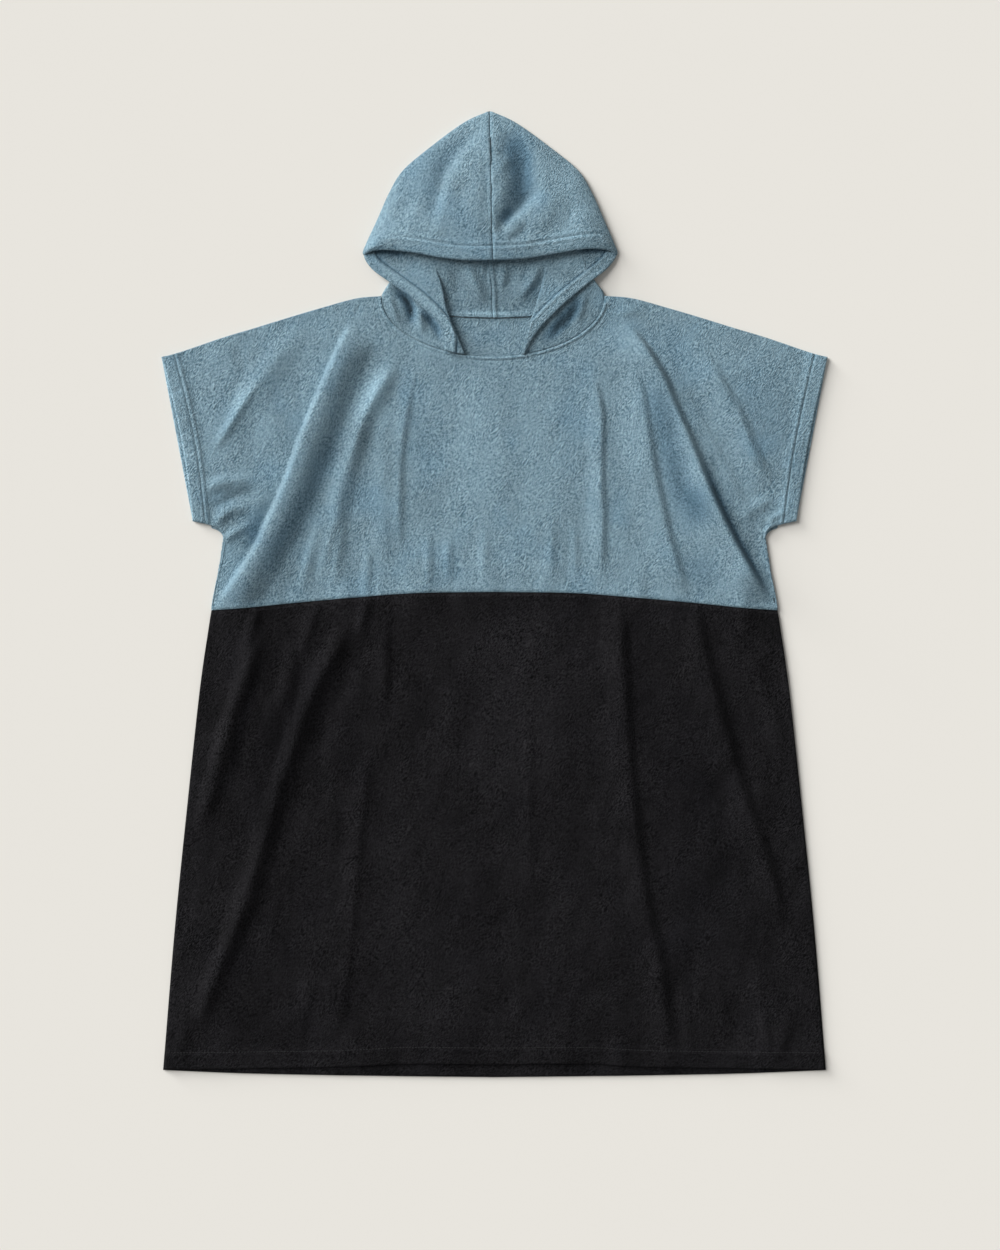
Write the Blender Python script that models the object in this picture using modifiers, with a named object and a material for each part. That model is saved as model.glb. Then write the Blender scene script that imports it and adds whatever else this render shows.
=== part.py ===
"""Hooded bath poncho of towelling, laid flat on its back with the hood opened out above the neck.

The garment lies on the XY plane: +Y runs towards the hood, +X to its left sleeve as seen from above, +Z up.
Every piece of cloth is an open surface with a wall thickness. The two back panels lie on the ground, the two
front panels lie on them, and each hood half is one sheet that runs from its hemmed face edge, round the
turned-out lapel and the side of the neck, to the centre seam at the back.
"""
import math

import bmesh
import bpy
import numpy as np

MM = 0.001

# ---- driving dimensions, in millimetres -------------------------------------------------------------
WALL = 2.2                  # one layer of towelling, pile included
GAP = 0.3                   # clearance between sewn pieces and between layers
SEAM_HALF_GAP = 0.2         # each hood half stays this far from the centre seam
CROWN_HALF_GAP = 0.5        # and this far at the crown, where four thicknesses meet
FLOOR_LAYER = WALL / 2      # middle of the cloth that lies on the ground
FRONT_LAYER = WALL * 1.5 + GAP   # middle of the front panels where they lie on the back ones

NECK_X, NECK_Y = -2.0, 381.0     # middle of the line between the two shoulder points of the neck
NECK_HALF_WIDTH = 143.0
FRONT_NECK_DROP = 78.0
BACK_NECK_DROP = 28.0
NECK_LIFT = 1.5             # the neck seam's turnings raise the front panel by this much

BODY_AIR = 2.5              # the front panel lies this much clear of the back one, away from its edges
CUFF_PEEK = (5.5, 3.5)      # the front's left and right cuffs lie this much inside the back's, at mid-length

BLUE = (0.190, 0.292, 0.350)
BLACK = (0.0105, 0.0100, 0.0115)

# ---- outline: half of it, from the middle outwards, in millimetres ----------------------------------
SHOULDER_LINE = [           # from the neck point to the top of the cuff
    (143, 381), (177, 377.8), (221, 366), (265, 353), (307, 340), (347, 328), (406, 308), (426, 303)]
UNDERARM_LINE = [(386, 93), (364, 88), (350, 81), (344, 65)]
SIDE_LINE = [(344, 65), (349, 37), (354, 18), (359, -4), (362, -21)]
SKIRT_SIDE_LINE = [(362, -21), (366, -46), (377, -123), (393, -276), (408, -430), (422, -608)]
WAIST_LINE = [(362, -21), (319, -18), (250, -11), (182, -5), (100, 1), (0, 2.5)]
HEM_LINE = [(422, -608), (326, -607), (199, -605), (109, -601), (0, -602)]
BACK_HEM_LINE = [(424, -609), (326, -613), (211, -615.5), (100, -617), (0, -618)]   # longer than the front

# Largest folds of the front: the points each runs through, its height, and how far it falls away on its
# -X side and on its +X side.
FOLD_TAPER = 60.0           # a fold rises from nothing over this much of its length, at both ends
FRONT_FOLDS = {
    "left_sleeve": (((-240, 345), (-299, 274), (-352, 180)), 5.5, 20, 22),
    "left_main": (((-166, 350), (-204, 274), (-236, 184), (-270, 95), (-320, 18), (-352, -22)), 12.0, 24, 36),
    "left_chest": (((-126, 300), (-166, 229), (-195, 140), (-215, 10)), 5.5, 22, 22),
    "left_centre": (((-110, 300), (-122, 184), (-120, 40)), 2.6, 26, 18),
    "right_centre": (((122, 292), (136, 184), (139, 8)), 3.4, 24, 18),
    "right_inner": (((172, 300), (199, 184), (227, 56), (246, -8)), 4.4, 34, 18),
    "right_main": (((168, 352), (226, 274), (260, 184), (290, 95), (360, -16)), 10.0, 46, 20),
    "right_sleeve": (((262, 322), (312, 229), (356, 132)), 4.4, 26, 18),
    "left_skirt_edge": (((-300, -34), (-342, -148), (-384, -310)), 3.8, 18, 20),
    "left_skirt_main": (((-176, -24), (-241, -148), (-292, -302), (-344, -456), (-384, -564)), 6.5, 24, 24),
    "left_skirt_inner": (((-138, -8), (-139, -110), (-146, -170)), 3.0, 20, 18),
    "left_skirt_low": (((-158, -190), (-184, -440), (-200, -575)), 2.6, 26, 20),
    "right_skirt_inner": (((158, -4), (172, -266), (210, -590)), 4.2, 30, 18),
    "right_skirt_main": (((246, -20), (285, -230), (368, -476)), 4.2, 28, 18),
}

# Hood halves. A row is a section across the hood, from the neck (first) to the crown (last). EDGE is the
# hemmed face edge up to the brim's corner and the side of the hood above it; LAPEL is the fold where the
# front turns outwards; SIDE is the fold at the side of the neck; SEAM is the centre seam of the back.
# EDGE_Z and UNDER_Z are the heights of the edge and of the cloth just inside it, LAPEL_Z and LAPEL_LOW_Z
# those of the two layers that meet at the lapel fold, SIDE_Z that of the upper layer at the side fold.
HOOD_COLUMNS = ("edge_x edge_y lapel_x lapel_y side_x side_y seam_x seam_y "
                "edge_z under_z lapel_z lapel_low_z side_z").split()
LEFT_HOOD = [
    (-64, 309, -39, 306, -145, 381, -2, 353, 9, 9, 9, 5.1, 5.1),
    (-66, 336, -50, 333, -141, 387, -3, 367, 11, 10.6, 10.4, 6.4, 6.3),
    (-96, 369, -61, 361, -136, 394, -3, 381, 13, 12, 11.5, 7.6, 7.4),
    (-133.5, 397.5, -68, 393, -130, 404, -4, 399, 13, 11.5, 11.5, 8, 8),
    (-157, 415.5, -74, 412, -125, 417, -7, 417, 9.5, 7.5, 10.5, 8, 8),
    (-167, 433, -77, 430, -118, 435, -9, 435, 6.5, 4.4, 9, 6.5, 7),
    (-163, 448, -81, 453, -111, 458, -8, 456, 5, 1.3, 10, 5, 5.5),
    (-150, 476, -88, 481, -98, 484, -7, 481, 5, 1.1, 8, 4.4, 4.6),
    (-134, 512, -98, 511, -82, 513, -6, 509, 5, 1.1, 4, 2.2, 2),
    (-117, 540, -90, 541, -56, 544, -6, 545, 5, 1.1, 1.1, 1.1, 1.1),
    (-86, 567, -66, 571, -34, 574, -6, 576, 5, 1.1, 1.1, 1.1, 1.1),
    (-40, 601, -29, 603, -17, 605, -6, 606, 5, 1.1, 1.1, 1.1, 1.1),
    (-6, 617, -6, 617, -6, 617, -6, 617, 5, 5, 5, 5, 5)]
RIGHT_HOOD = [
    (39, 308, 36, 308, 141, 381, -2, 353, 9, 9, 9, 5.1, 5.1),
    (52, 332, 42, 334, 138, 387, -3, 367, 11, 10.6, 10.4, 6.4, 6.3),
    (84, 366, 51, 361, 132, 394, -3, 381, 13, 12, 11.5, 7.6, 7.4),
    (121, 397, 60, 390, 125, 404, -4, 399, 13, 11.5, 11.5, 8, 8),
    (144, 416, 65, 412, 118, 417, -7, 417, 9.5, 7.5, 10.5, 8, 8),
    (156, 433, 68, 430, 112, 435, -9, 435, 6.5, 4.4, 9, 6.5, 7),
    (152, 448, 72, 453, 104, 458, -8, 456, 5, 1.3, 10, 5, 5.5),
    (140, 476, 77, 481, 90, 484, -7, 481, 5, 1.1, 8, 4.4, 4.6),
    (124, 512, 86, 511, 74, 513, -6, 509, 5, 1.1, 4, 2.2, 2),
    (107, 540, 80, 541, 46, 544, -6, 545, 5, 1.1, 1.1, 1.1, 1.1),
    (75, 567, 55, 571, 22, 574, -6, 576, 5, 1.1, 1.1, 1.1, 1.1),
    (28, 601, 17, 603, 5, 605, -6, 606, 5, 1.1, 1.1, 1.1, 1.1),
    (-6, 617, -6, 617, -6, 617, -6, 617, 5, 5, 5, 5, 5)]
FIRST_HEIGHT = HOOD_COLUMNS.index("edge_z")
BRIM_ROW = 5                # the row at the brim's corner, where the face edge turns over the hood's top
# The brim's own edge, from its corner to the centre seam: x, y and height.
LEFT_BRIM = [
    (-167, 433, 6.5), (-151.5, 438, 17), (-127, 437.5, 21.5), (-98, 433.7, 24), (-72, 428.5, 26),
    (-40, 424.5, 27), (-18, 424, 27.5), (-2, 424.5, 27.5)]
RIGHT_BRIM = [
    (156, 433, 6.5), (146, 438.5, 15), (125, 440.5, 20), (102, 438, 23), (76, 433, 25),
    (45, 427.5, 26.5), (20, 425, 27.5), (-2, 424.5, 27.5)]
HOOD_DOME = 2.0             # the top of the hood stands this much higher than its brim
HOOD_ROLL = 5.0             # how steeply the top rises from the hood's soft outer edge

# ---- how finely the surfaces are divided --------------------------------------------------------------
SHOULDER_STEPS, UNDERARM_STEPS, SIDE_STEPS, NECK_OPEN_STEPS = 19, 5, 6, 4
BACK_SHOULDER_STEPS, BACK_UNDERARM_STEPS, BACK_SIDE_STEPS = 10, 3, 4
YOKE_ROWS, SKIRT_ROWS, SKIRT_STEPS = 22, 20, 48
BACK_YOKE_ROWS, BACK_SKIRT_ROWS, BACK_SKIRT_STEPS = 4, 4, 20
CUFF_COLUMNS = 9            # the cuff's bow fades out over this many columns
HOOD_ROWS_PER_SECTION = 2
NECK_FADE_ROWS = 2.4        # the hood's shape follows the neck's ellipses over this many rows


# ---- small helpers ------------------------------------------------------------------------------------
def ease(value):
    """Smooth step: 0 below nought, 1 above one, and a soft S between them."""
    value = np.clip(value, 0.0, 1.0)
    return value * value * (3.0 - 2.0 * value)


def smooth_rows(table, where):
    """Catmull-Rom curve through the rows of a table, read at the row numbers in `where`."""
    table = np.asarray(table, float)
    padded = np.vstack([2 * table[0] - table[1], table, 2 * table[-1] - table[-2]])
    where = np.asarray(where, float)
    index = np.clip(where.astype(int), 0, len(table) - 2)
    t = (where - index)[:, None]
    p0, p1, p2, p3 = (padded[index + k] for k in range(4))
    return 0.5 * (2 * p1 + (p2 - p0) * t + (2 * p0 - 5 * p1 + 4 * p2 - p3) * t ** 2
                  + (3 * p1 - p0 - 3 * p2 + p3) * t ** 3)


def run_length(points):
    """Length of a line of points up to each of them."""
    return np.concatenate([[0], np.cumsum(np.hypot(*np.diff(points, axis=0).T))])


def stretch(points, steps):
    """A smooth stretch of outline through the points, cut into equal lengths: steps + 1 points."""
    fine = smooth_rows(points, np.linspace(0, len(points) - 1, 40 * len(points)))
    run = run_length(fine)
    even = np.linspace(0, run[-1], steps + 1)
    return np.stack([np.interp(even, run, fine[:, k]) for k in range(2)], axis=1)


def chain(*stretches):
    """Joins stretches end to end, each one's first point being the last one's end."""
    return np.vstack([stretches[0]] + [piece[1:] for piece in stretches[1:]])


def mirrored(half):
    """The same stretch on the -X side, run from the outside to the middle."""
    return half[::-1] * (-1, 1)


def neck_curve(cosines, drop, clearance):
    """Lower half of the neck's ellipse at the given cosines of its angle, moved out by clearance."""
    sines = -np.sqrt(1 - cosines ** 2)
    return np.stack([NECK_X + (NECK_HALF_WIDTH + clearance) * cosines,
                     NECK_Y + (drop + clearance) * sines], axis=1)


# ---- heights of the front panels ----------------------------------------------------------------------
def fold_height(x, y, fold):
    """Height of one fold: its distance from its own curve, eased off to each side and towards both ends."""
    path, high, left, right = fold
    curve = smooth_rows(path, np.linspace(0, len(path) - 1, 8 * (len(path) - 1) + 1))
    run = run_length(curve)
    taper = min(FOLD_TAPER, 0.4 * run[-1])
    best = np.full(x.shape, 1e9)
    height = np.zeros(x.shape)
    for start, end, run_start in zip(curve[:-1], curve[1:], run[:-1]):
        way = end - start
        length = np.hypot(*way)
        along = np.clip(((x - start[0]) * way[0] + (y - start[1]) * way[1]) / length ** 2, 0, 1)
        off_x, off_y = x - start[0] - along * way[0], y - start[1] - along * way[1]
        distance = np.hypot(off_x, off_y)
        place = run_start + along * length
        value = high * ease(place / taper) * ease((run[-1] - place) / taper)
        value = value * (1 - ease(distance / np.where(off_x < 0, left, right)))
        nearer = distance < best
        best = np.where(nearer, distance, best)
        height = np.where(nearer, value, height)
    return height


def front_height(x, y):
    """Middle of the front cloth: the lying height, the air under it, the neck's lift and the folds."""
    reach_y = (-608, -353, -123, -20, 18, 63, 95, 303)
    reach_x = (422, 401, 377, 362, 354, 343, 388, 426)
    reach = np.interp(y, reach_y, reach_x)
    shoulder = np.interp(np.abs(x), (145, 426), (381, 303))
    from_neck = (np.hypot((x - NECK_X) / NECK_HALF_WIDTH, (y - NECK_Y) / FRONT_NECK_DROP) - 1) * 90
    inward = ease((reach - np.abs(x)) / 80) * ease((shoulder - y) / 60) * ease((y + 612) / 90)
    air = BODY_AIR * inward * ease(from_neck / 50)
    lift = NECK_LIFT * (1 - ease((from_neck - 10) / 40))
    at_edge = ease((reach - np.abs(x)) / 14) * ease((shoulder - y) / 14) * ease((from_neck - 6) / 20)
    folds = sum(fold_height(x, y, fold) for fold in FRONT_FOLDS.values())
    return FRONT_LAYER + air + lift + at_edge * folds


# ---- panels ---------------------------------------------------------------------------------------------
def ruled_panel(top, bottom, rows, height):
    """Grid between two boundaries with the same number of points, with z from the height function."""
    v = np.linspace(0, 1, rows + 1)[:, None, None]
    plan = (1 - v) * top[None] + v * bottom[None]
    z = height(plan[..., 0], plan[..., 1])
    return np.concatenate([plan, z[..., None]], axis=2)


def lying(x, y):
    """Height of a panel that lies on the ground."""
    return np.full(x.shape, FLOOR_LAYER)


def yoke_boundaries(neck, shoulder_steps, underarm_steps, side_steps):
    """Upper and lower boundary of a blue upper panel with its cut-on sleeves, round a given neck."""
    shoulder = stretch(SHOULDER_LINE, shoulder_steps)
    left_shoulder, right_shoulder = mirrored(shoulder), shoulder.copy()
    left_shoulder[-1], right_shoulder[0] = neck[0], neck[-1]
    top = chain(left_shoulder, neck, right_shoulder)
    waist_steps = len(top) - 1 - 2 * (underarm_steps + side_steps)
    waist = stretch(WAIST_LINE, waist_steps // 2)
    waist = chain(waist * (-1, 1), waist[::-1]) + (0, GAP / 2)
    side = chain(stretch(UNDERARM_LINE, underarm_steps), stretch(SIDE_LINE, side_steps))
    left_side, right_side = side * (-1, 1), side[::-1].copy()
    left_side[-1], right_side[0] = waist[0], waist[-1]
    return top, chain(left_side, waist, right_side)


def bow_cuffs(grid, columns, amounts):
    """Bows the outer columns inwards at mid-length, so that the sleeve's layer below shows past them."""
    push = np.sin(math.pi * np.linspace(0, 1, len(grid)))[:, None] * ease(np.linspace(1.2, 0, columns))[None]
    grid[:, :columns, 0] += amounts[0] * push
    grid[:, -columns:, 0] -= amounts[1] * push[:, ::-1]
    return grid


def upper_front(left_cosines, right_cosines):
    """Blue upper front with cut-on sleeves: shoulders and front neck down to the waist seam."""
    left, right = left_cosines[LAPEL_COLUMN:SIDE_COLUMN + 1], right_cosines[LAPEL_COLUMN:SIDE_COLUMN + 1]
    middle = np.linspace(left[0], right[0], NECK_OPEN_STEPS + 1)[1:-1]
    neck = neck_curve(np.concatenate([left[::-1], middle, right]), FRONT_NECK_DROP, GAP / 2)
    top, bottom = yoke_boundaries(neck, SHOULDER_STEPS, UNDERARM_STEPS, SIDE_STEPS)
    return bow_cuffs(ruled_panel(top, bottom, YOKE_ROWS, front_height), CUFF_COLUMNS, CUFF_PEEK)


def upper_back(left_cosines, right_cosines):
    """Blue upper back: the same cut with a shallow neck, its sleeves showing a little past the front."""
    left, right = left_cosines[SIDE_COLUMN:-1], right_cosines[SIDE_COLUMN:-1]
    neck = neck_curve(np.concatenate([left, [0.0], right[::-1]]), BACK_NECK_DROP, GAP / 2)
    top, bottom = yoke_boundaries(neck, BACK_SHOULDER_STEPS, BACK_UNDERARM_STEPS, BACK_SIDE_STEPS)
    return ruled_panel(top, bottom, BACK_YOKE_ROWS, lying)


def skirt(steps, rows, hem_line, height):
    """Black lower panel from the waist seam to the hem."""
    waist = stretch(WAIST_LINE, steps // 2)
    hem = stretch(hem_line, steps // 2)
    top = chain(waist * (-1, 1), waist[::-1]) - (0, GAP / 2)
    bottom = chain(hem * (-1, 1), hem[::-1])
    grid = ruled_panel(top, bottom, rows, height)
    side = stretch(SKIRT_SIDE_LINE, rows)
    straight = np.linspace(side[0], side[-1], rows + 1)
    bow = (side - straight)[:, 0]
    across = grid[..., 0] / np.abs(grid[:, :1, 0])
    grid[..., 0] += bow[:, None] * across ** 3
    grid[..., 2] = height(grid[..., 0], grid[..., 1])
    return grid


def lower_front():
    """Black lower front: it lies on the lower back and keeps the front's folds."""
    return skirt(SKIRT_STEPS, SKIRT_ROWS, HEM_LINE, front_height)


def lower_back():
    """Black lower back: its hem and side seams show a little outside the front."""
    return skirt(BACK_SKIRT_STEPS, BACK_SKIRT_ROWS, BACK_HEM_LINE, lying)


# ---- hood -------------------------------------------------------------------------------------------------
def soft_curve(controls, steps):
    """Quadratic B-spline along axis 1 of controls; its ends are the first and last control points."""
    first = 2 * controls[:, :1] - controls[:, 1:2]
    last = 2 * controls[:, -1:] - controls[:, -2:-1]
    controls = np.concatenate([first, controls[:, 1:-1], last], axis=1)
    samples = []
    for span, count in enumerate(steps):
        for t in np.arange(count) / count:
            samples.append(0.5 * (1 - t) ** 2 * controls[:, span]
                           + (0.5 + t - t * t) * controls[:, span + 1]
                           + 0.5 * t * t * controls[:, span + 2])
    samples.append(0.5 * (controls[:, -2] + controls[:, -1]))
    return np.stack(samples, axis=1)


def toward(start, end, distance):
    """Points that lie `distance` from start on the way to end, for arrays of points in plan."""
    way = end - start
    length = np.maximum(np.hypot(way[:, 0], way[:, 1]), 1e-6)
    return start + way / length[:, None] * distance[:, None]


def at_height(plan, z):
    """Adds a height column to points in plan."""
    return np.concatenate([plan, np.broadcast_to(z, (len(plan),))[:, None]], axis=1)


def hood_controls(rows):
    """Control points of every section: face edge, lapel fold, side fold and centre seam."""
    c = {name: rows[:, k] for k, name in enumerate(HOOD_COLUMNS)}
    edge, lapel, side, seam = (np.stack([c[n + "_x"], c[n + "_y"]], axis=1)
                               for n in ("edge", "lapel", "side", "seam"))
    number = np.linspace(0, len(LEFT_HOOD) - 1, len(rows))
    turned = ease((number - 3.2) / 2.6)
    width = np.hypot(*(lapel - edge).T)
    lapel_radius = np.maximum((c["lapel_z"] - c["lapel_low_z"]) / 2, 2.0)
    side_radius = np.maximum((c["side_z"] - FLOOR_LAYER) / 2, 2.0)
    closing = 1 - 0.7 * ease((number - 9.6) / 1.4)
    lapel_radius *= closing
    side_radius *= closing
    inset = np.minimum(7.0, 0.2 * width) * (1 - turned)
    low = FLOOR_LAYER + (c["under_z"] - FLOOR_LAYER) * ease(number - 11)
    mid_z = (c["under_z"] + c["lapel_z"]) / 2
    points = [
        at_height(edge, c["edge_z"]),
        at_height(toward(edge, lapel, inset), c["under_z"]),
        at_height(edge + (lapel - edge) * 0.40, mid_z),
        at_height(edge + (lapel - edge) * 0.70, c["lapel_z"]),
        at_height(toward(lapel, edge, lapel_radius), c["lapel_z"]),
        at_height(lapel, c["lapel_z"]),
        at_height(lapel, c["lapel_low_z"]),
        at_height(toward(lapel, side, lapel_radius), c["lapel_low_z"]),
        at_height(lapel + (side - lapel) / 3, (2 * c["lapel_low_z"] + c["side_z"]) / 3),
        at_height(lapel + (side - lapel) * 2 / 3, (c["lapel_low_z"] + 2 * c["side_z"]) / 3),
        at_height(toward(side, lapel, side_radius), c["side_z"]),
        at_height(side, c["side_z"]),
        at_height(side, low),
        at_height(toward(side, seam, side_radius), low),
        at_height(side + (seam - side) / 3, low),
        at_height(side + (seam - side) * 2 / 3, low),
        at_height(side + (seam - side) * 0.93, low),
        at_height(seam, low)]
    return np.stack(points, axis=1)


# One entry for each inner control point of a section: how many steps its stretch of the curve takes.
LOWER_SPANS = (1, 1, 1, 1, 2, 2, 1, 2, 2, 1, 2, 2, 1, 2, 2, 1)
TOP_SPANS = (2, 2, 2, 1)
LAPEL_COLUMN = sum(LOWER_SPANS[:5])      # the column that runs along the lapel fold
SIDE_COLUMN = sum(LOWER_SPANS[:11])      # and the one along the side fold
FOLD_COLUMNS_WIDE = 3                    # a fold's roundness takes this many columns each way


def neck_cosines(row):
    """Places of a hood half's neck row on the neck's ellipses: the side fold is at the shoulder point."""
    cosines = np.clip((row[:, 0] - NECK_X) / NECK_HALF_WIDTH, -1, 1)
    cosines[SIDE_COLUMN] = np.sign(cosines[SIDE_COLUMN])
    return cosines


def fit_to_neck(grid, cosines):
    """Moves the neck row onto the neck's ellipses: the front one up to the side fold, then the back one."""
    from_side, from_lapel = (np.abs(np.arange(len(cosines)) - fold) for fold in (SIDE_COLUMN, LAPEL_COLUMN))
    inside = GAP / 2 + WALL / 2 * (1 - ease(from_side / FOLD_COLUMNS_WIDE))
    inside = inside + WALL / 4 * (1 - ease(from_lapel / FOLD_COLUMNS_WIDE))
    front = neck_curve(cosines, FRONT_NECK_DROP, -inside)
    back = neck_curve(cosines, BACK_NECK_DROP, -inside)
    after_fold = np.arange(len(cosines))[:, None] > SIDE_COLUMN
    move = np.where(after_fold, back, front) - grid[0, :, :2]
    fade = (1 - np.clip(np.linspace(0, len(LEFT_HOOD) - 1, len(grid)) / NECK_FADE_ROWS, 0, 1)) ** 2
    grid[..., :2] += fade[:, None, None] * move[None]
    return grid


def hood_surfaces(table, brim, side_sign):
    """A hood half's lower surface, out to the centre seam, its top over the brim, and its neck's cosines."""
    table = np.array(table, float)
    brim = np.array(brim, float)
    table[:-1, HOOD_COLUMNS.index("seam_x")] += side_sign * SEAM_HALF_GAP
    table[-1, 0:FIRST_HEIGHT:2] += side_sign * CROWN_HALF_GAP
    brim[-1, 0] += side_sign * SEAM_HALF_GAP
    count = (len(table) - 1) * HOOD_ROWS_PER_SECTION + 1
    rows = smooth_rows(table, np.linspace(0, len(table) - 1, count))
    rows[:, FIRST_HEIGHT:] = np.maximum(rows[:, FIRST_HEIGHT:], FLOOR_LAYER)
    lower = soft_curve(hood_controls(rows), LOWER_SPANS)
    cosines = neck_cosines(lower[0])
    lower = fit_to_neck(lower, cosines)
    first = BRIM_ROW * HOOD_ROWS_PER_SECTION
    upper_rows = rows[first:]
    number = np.linspace(0, len(brim) - 1, count - first)
    brim_rows = smooth_rows(brim, number)
    edge, face, brim_z = upper_rows[:, :2], brim_rows[:, :2], brim_rows[:, 2]
    edge_z = upper_rows[:, FIRST_HEIGHT]
    opened = ease(number)
    top = soft_curve(np.stack([
        at_height(edge, edge_z),
        at_height(edge, edge_z + HOOD_ROLL * opened),
        at_height(edge + (face - edge) * 0.25, edge_z + (brim_z - edge_z) * 0.66),
        at_height(edge + (face - edge) * 0.60, brim_z + HOOD_DOME * opened),
        at_height(edge + (face - edge) * 0.90, brim_z),
        at_height(face, brim_z)], axis=1), TOP_SPANS)
    return lower, top, cosines


# ---- objects --------------------------------------------------------------------------------------------------
def add_grid(bm, grid):
    """Adds a grid of points (rows, columns, 3), in millimetres, to the mesh as quads."""
    rows, columns = grid.shape[:2]
    verts = [bm.verts.new(point) for point in (grid * MM).reshape(-1, 3)]
    for r in range(rows - 1):
        for c in range(columns - 1):
            a = r * columns + c
            bm.faces.new((verts[a], verts[a + 1], verts[a + columns + 1], verts[a + columns]))


def cloth_piece(name, grids, material, collection):
    """One piece of cloth: its open surface, welded where grids meet, with the wall given by Solidify."""
    bm = bmesh.new()
    for grid in grids:
        add_grid(bm, grid)
    bmesh.ops.remove_doubles(bm, verts=bm.verts, dist=0.02 * MM)
    bmesh.ops.dissolve_degenerate(bm, edges=bm.edges, dist=0.02 * MM)
    bmesh.ops.recalc_face_normals(bm, faces=bm.faces)
    mesh = bpy.data.meshes.new(name)
    bm.to_mesh(mesh)
    bm.free()
    mesh.shade_smooth()
    piece = bpy.data.objects.new(name, mesh)
    collection.objects.link(piece)
    mesh.materials.append(material)
    wall = piece.modifiers.new("wall", "SOLIDIFY")
    wall.thickness = WALL * MM
    wall.offset = 0.0
    return piece


def towelling(name, colour):
    """Plush towelling: rough, matt, in one colour."""
    material = bpy.data.materials.new(name)
    material.use_nodes = True
    shader = material.node_tree.nodes["Principled BSDF"]
    shader.inputs["Base Color"].default_value = (*colour, 1)
    shader.inputs["Roughness"].default_value = 0.95
    shader.inputs["Metallic"].default_value = 0.0
    return material


def main():
    for old in list(bpy.data.objects):
        bpy.data.objects.remove(old)
    collection = bpy.data.collections.new("hooded_bath_poncho")
    bpy.context.scene.collection.children.link(collection)
    blue = towelling("blue_towelling", BLUE)
    black = towelling("black_towelling", BLACK)
    *left_hood, left_neck = hood_surfaces(LEFT_HOOD, LEFT_BRIM, -1)
    *right_hood, right_neck = hood_surfaces(RIGHT_HOOD, RIGHT_BRIM, 1)
    cloth_piece("upper_back", [upper_back(left_neck, right_neck)], blue, collection)
    cloth_piece("lower_back", [lower_back()], black, collection)
    cloth_piece("upper_front", [upper_front(left_neck, right_neck)], blue, collection)
    cloth_piece("lower_front", [lower_front()], black, collection)
    cloth_piece("hood_left", left_hood, blue, collection)
    cloth_piece("hood_right", right_hood, blue, collection)


main()
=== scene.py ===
"""Looks of the hooded bath poncho: every panel and both hood halves as fine towelling shells, with turned
hems, sewn seams, stitching, nap, painted light and shade, and the folds of a garment laid flat. Lengths are
in millimetres until a mesh is made; +Y runs to the hood, +X across the sleeves, +Z up from the ground."""
import math

import bpy
import numpy as np
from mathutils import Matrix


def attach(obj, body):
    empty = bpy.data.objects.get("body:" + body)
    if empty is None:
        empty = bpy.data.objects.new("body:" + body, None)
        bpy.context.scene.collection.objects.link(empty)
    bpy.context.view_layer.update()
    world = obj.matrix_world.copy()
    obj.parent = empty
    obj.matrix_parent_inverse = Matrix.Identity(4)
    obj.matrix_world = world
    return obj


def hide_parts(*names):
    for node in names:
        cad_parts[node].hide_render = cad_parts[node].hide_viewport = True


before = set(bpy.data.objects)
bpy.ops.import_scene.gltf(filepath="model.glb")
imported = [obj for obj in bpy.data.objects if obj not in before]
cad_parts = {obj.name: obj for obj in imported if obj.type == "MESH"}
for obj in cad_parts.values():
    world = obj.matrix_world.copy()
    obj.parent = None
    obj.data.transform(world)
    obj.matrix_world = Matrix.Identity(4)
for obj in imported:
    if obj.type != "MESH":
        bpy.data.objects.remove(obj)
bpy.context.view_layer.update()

MM = 0.001

# ---- the garment's sizes ----
WALL = 2.2
GAP = 0.3
FLOOR_LAYER = WALL / 2      # middle of the cloth that lies on the ground
FRONT_LAYER = WALL * 1.5 + GAP      # middle of the front panels where they lie on the back ones
NECK_X, NECK_Y = -2.0, 381.0
NECK_HALF_WIDTH = 143.0
FRONT_NECK_DROP = 78.0
BACK_NECK_DROP = 28.0
NECK_LIFT = 1.5             # the neck seam's turnings raise the front panel by this much
BODY_AIR = 2.5              # the front panel lies this much clear of the back one, away from its edges
CUFF_PEEK = (5.5, 3.5)      # the front's left and right cuffs lie this much inside the back's, at mid-length

HEM_WIDTH = 22.0            # turned hem of the skirt
CUFF_WIDTH = 24.0           # turned hem of the sleeves, sewn with two rows
CUFF_ROWS = (17.0, 23.0)    # the two rows of stitching, measured from the cuff's edge
FACE_HEM_WIDTH = 16.5       # turned hem round the face opening
BRIM_HEM_WIDTH = 18.0       # and over the forehead
HEM_RAISE = 1.1             # a turned hem stands this much above the single cloth
HEM_STITCH_ROW = HEM_WIDTH - 0.5
FACE_STITCH_ROW = FACE_HEM_WIDTH - 1.2
WAIST_TOPSTITCH = 6.0       # topstitching beside the waist seam
SIDE_TOPSTITCH = 8.5        # and beside the skirt's side seams
EDGE_ROUND = 2.6            # the wall thins to nothing over this much at a rounded edge
SEAM_ROUND = 3.2            # and over this much at the waist seam
BACK_SEAM_SHIFT = 3.0       # the back's waist seam lies this much lower, hidden under the front
PANEL_HEM_WALL = 0.42       # a turned hem makes the front's wall thicker by this share of it
BACK_HEM_WALL = 0.5         # the back's by this
HOOD_HEM_WALL = 0.35        # and the hood's by this

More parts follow.
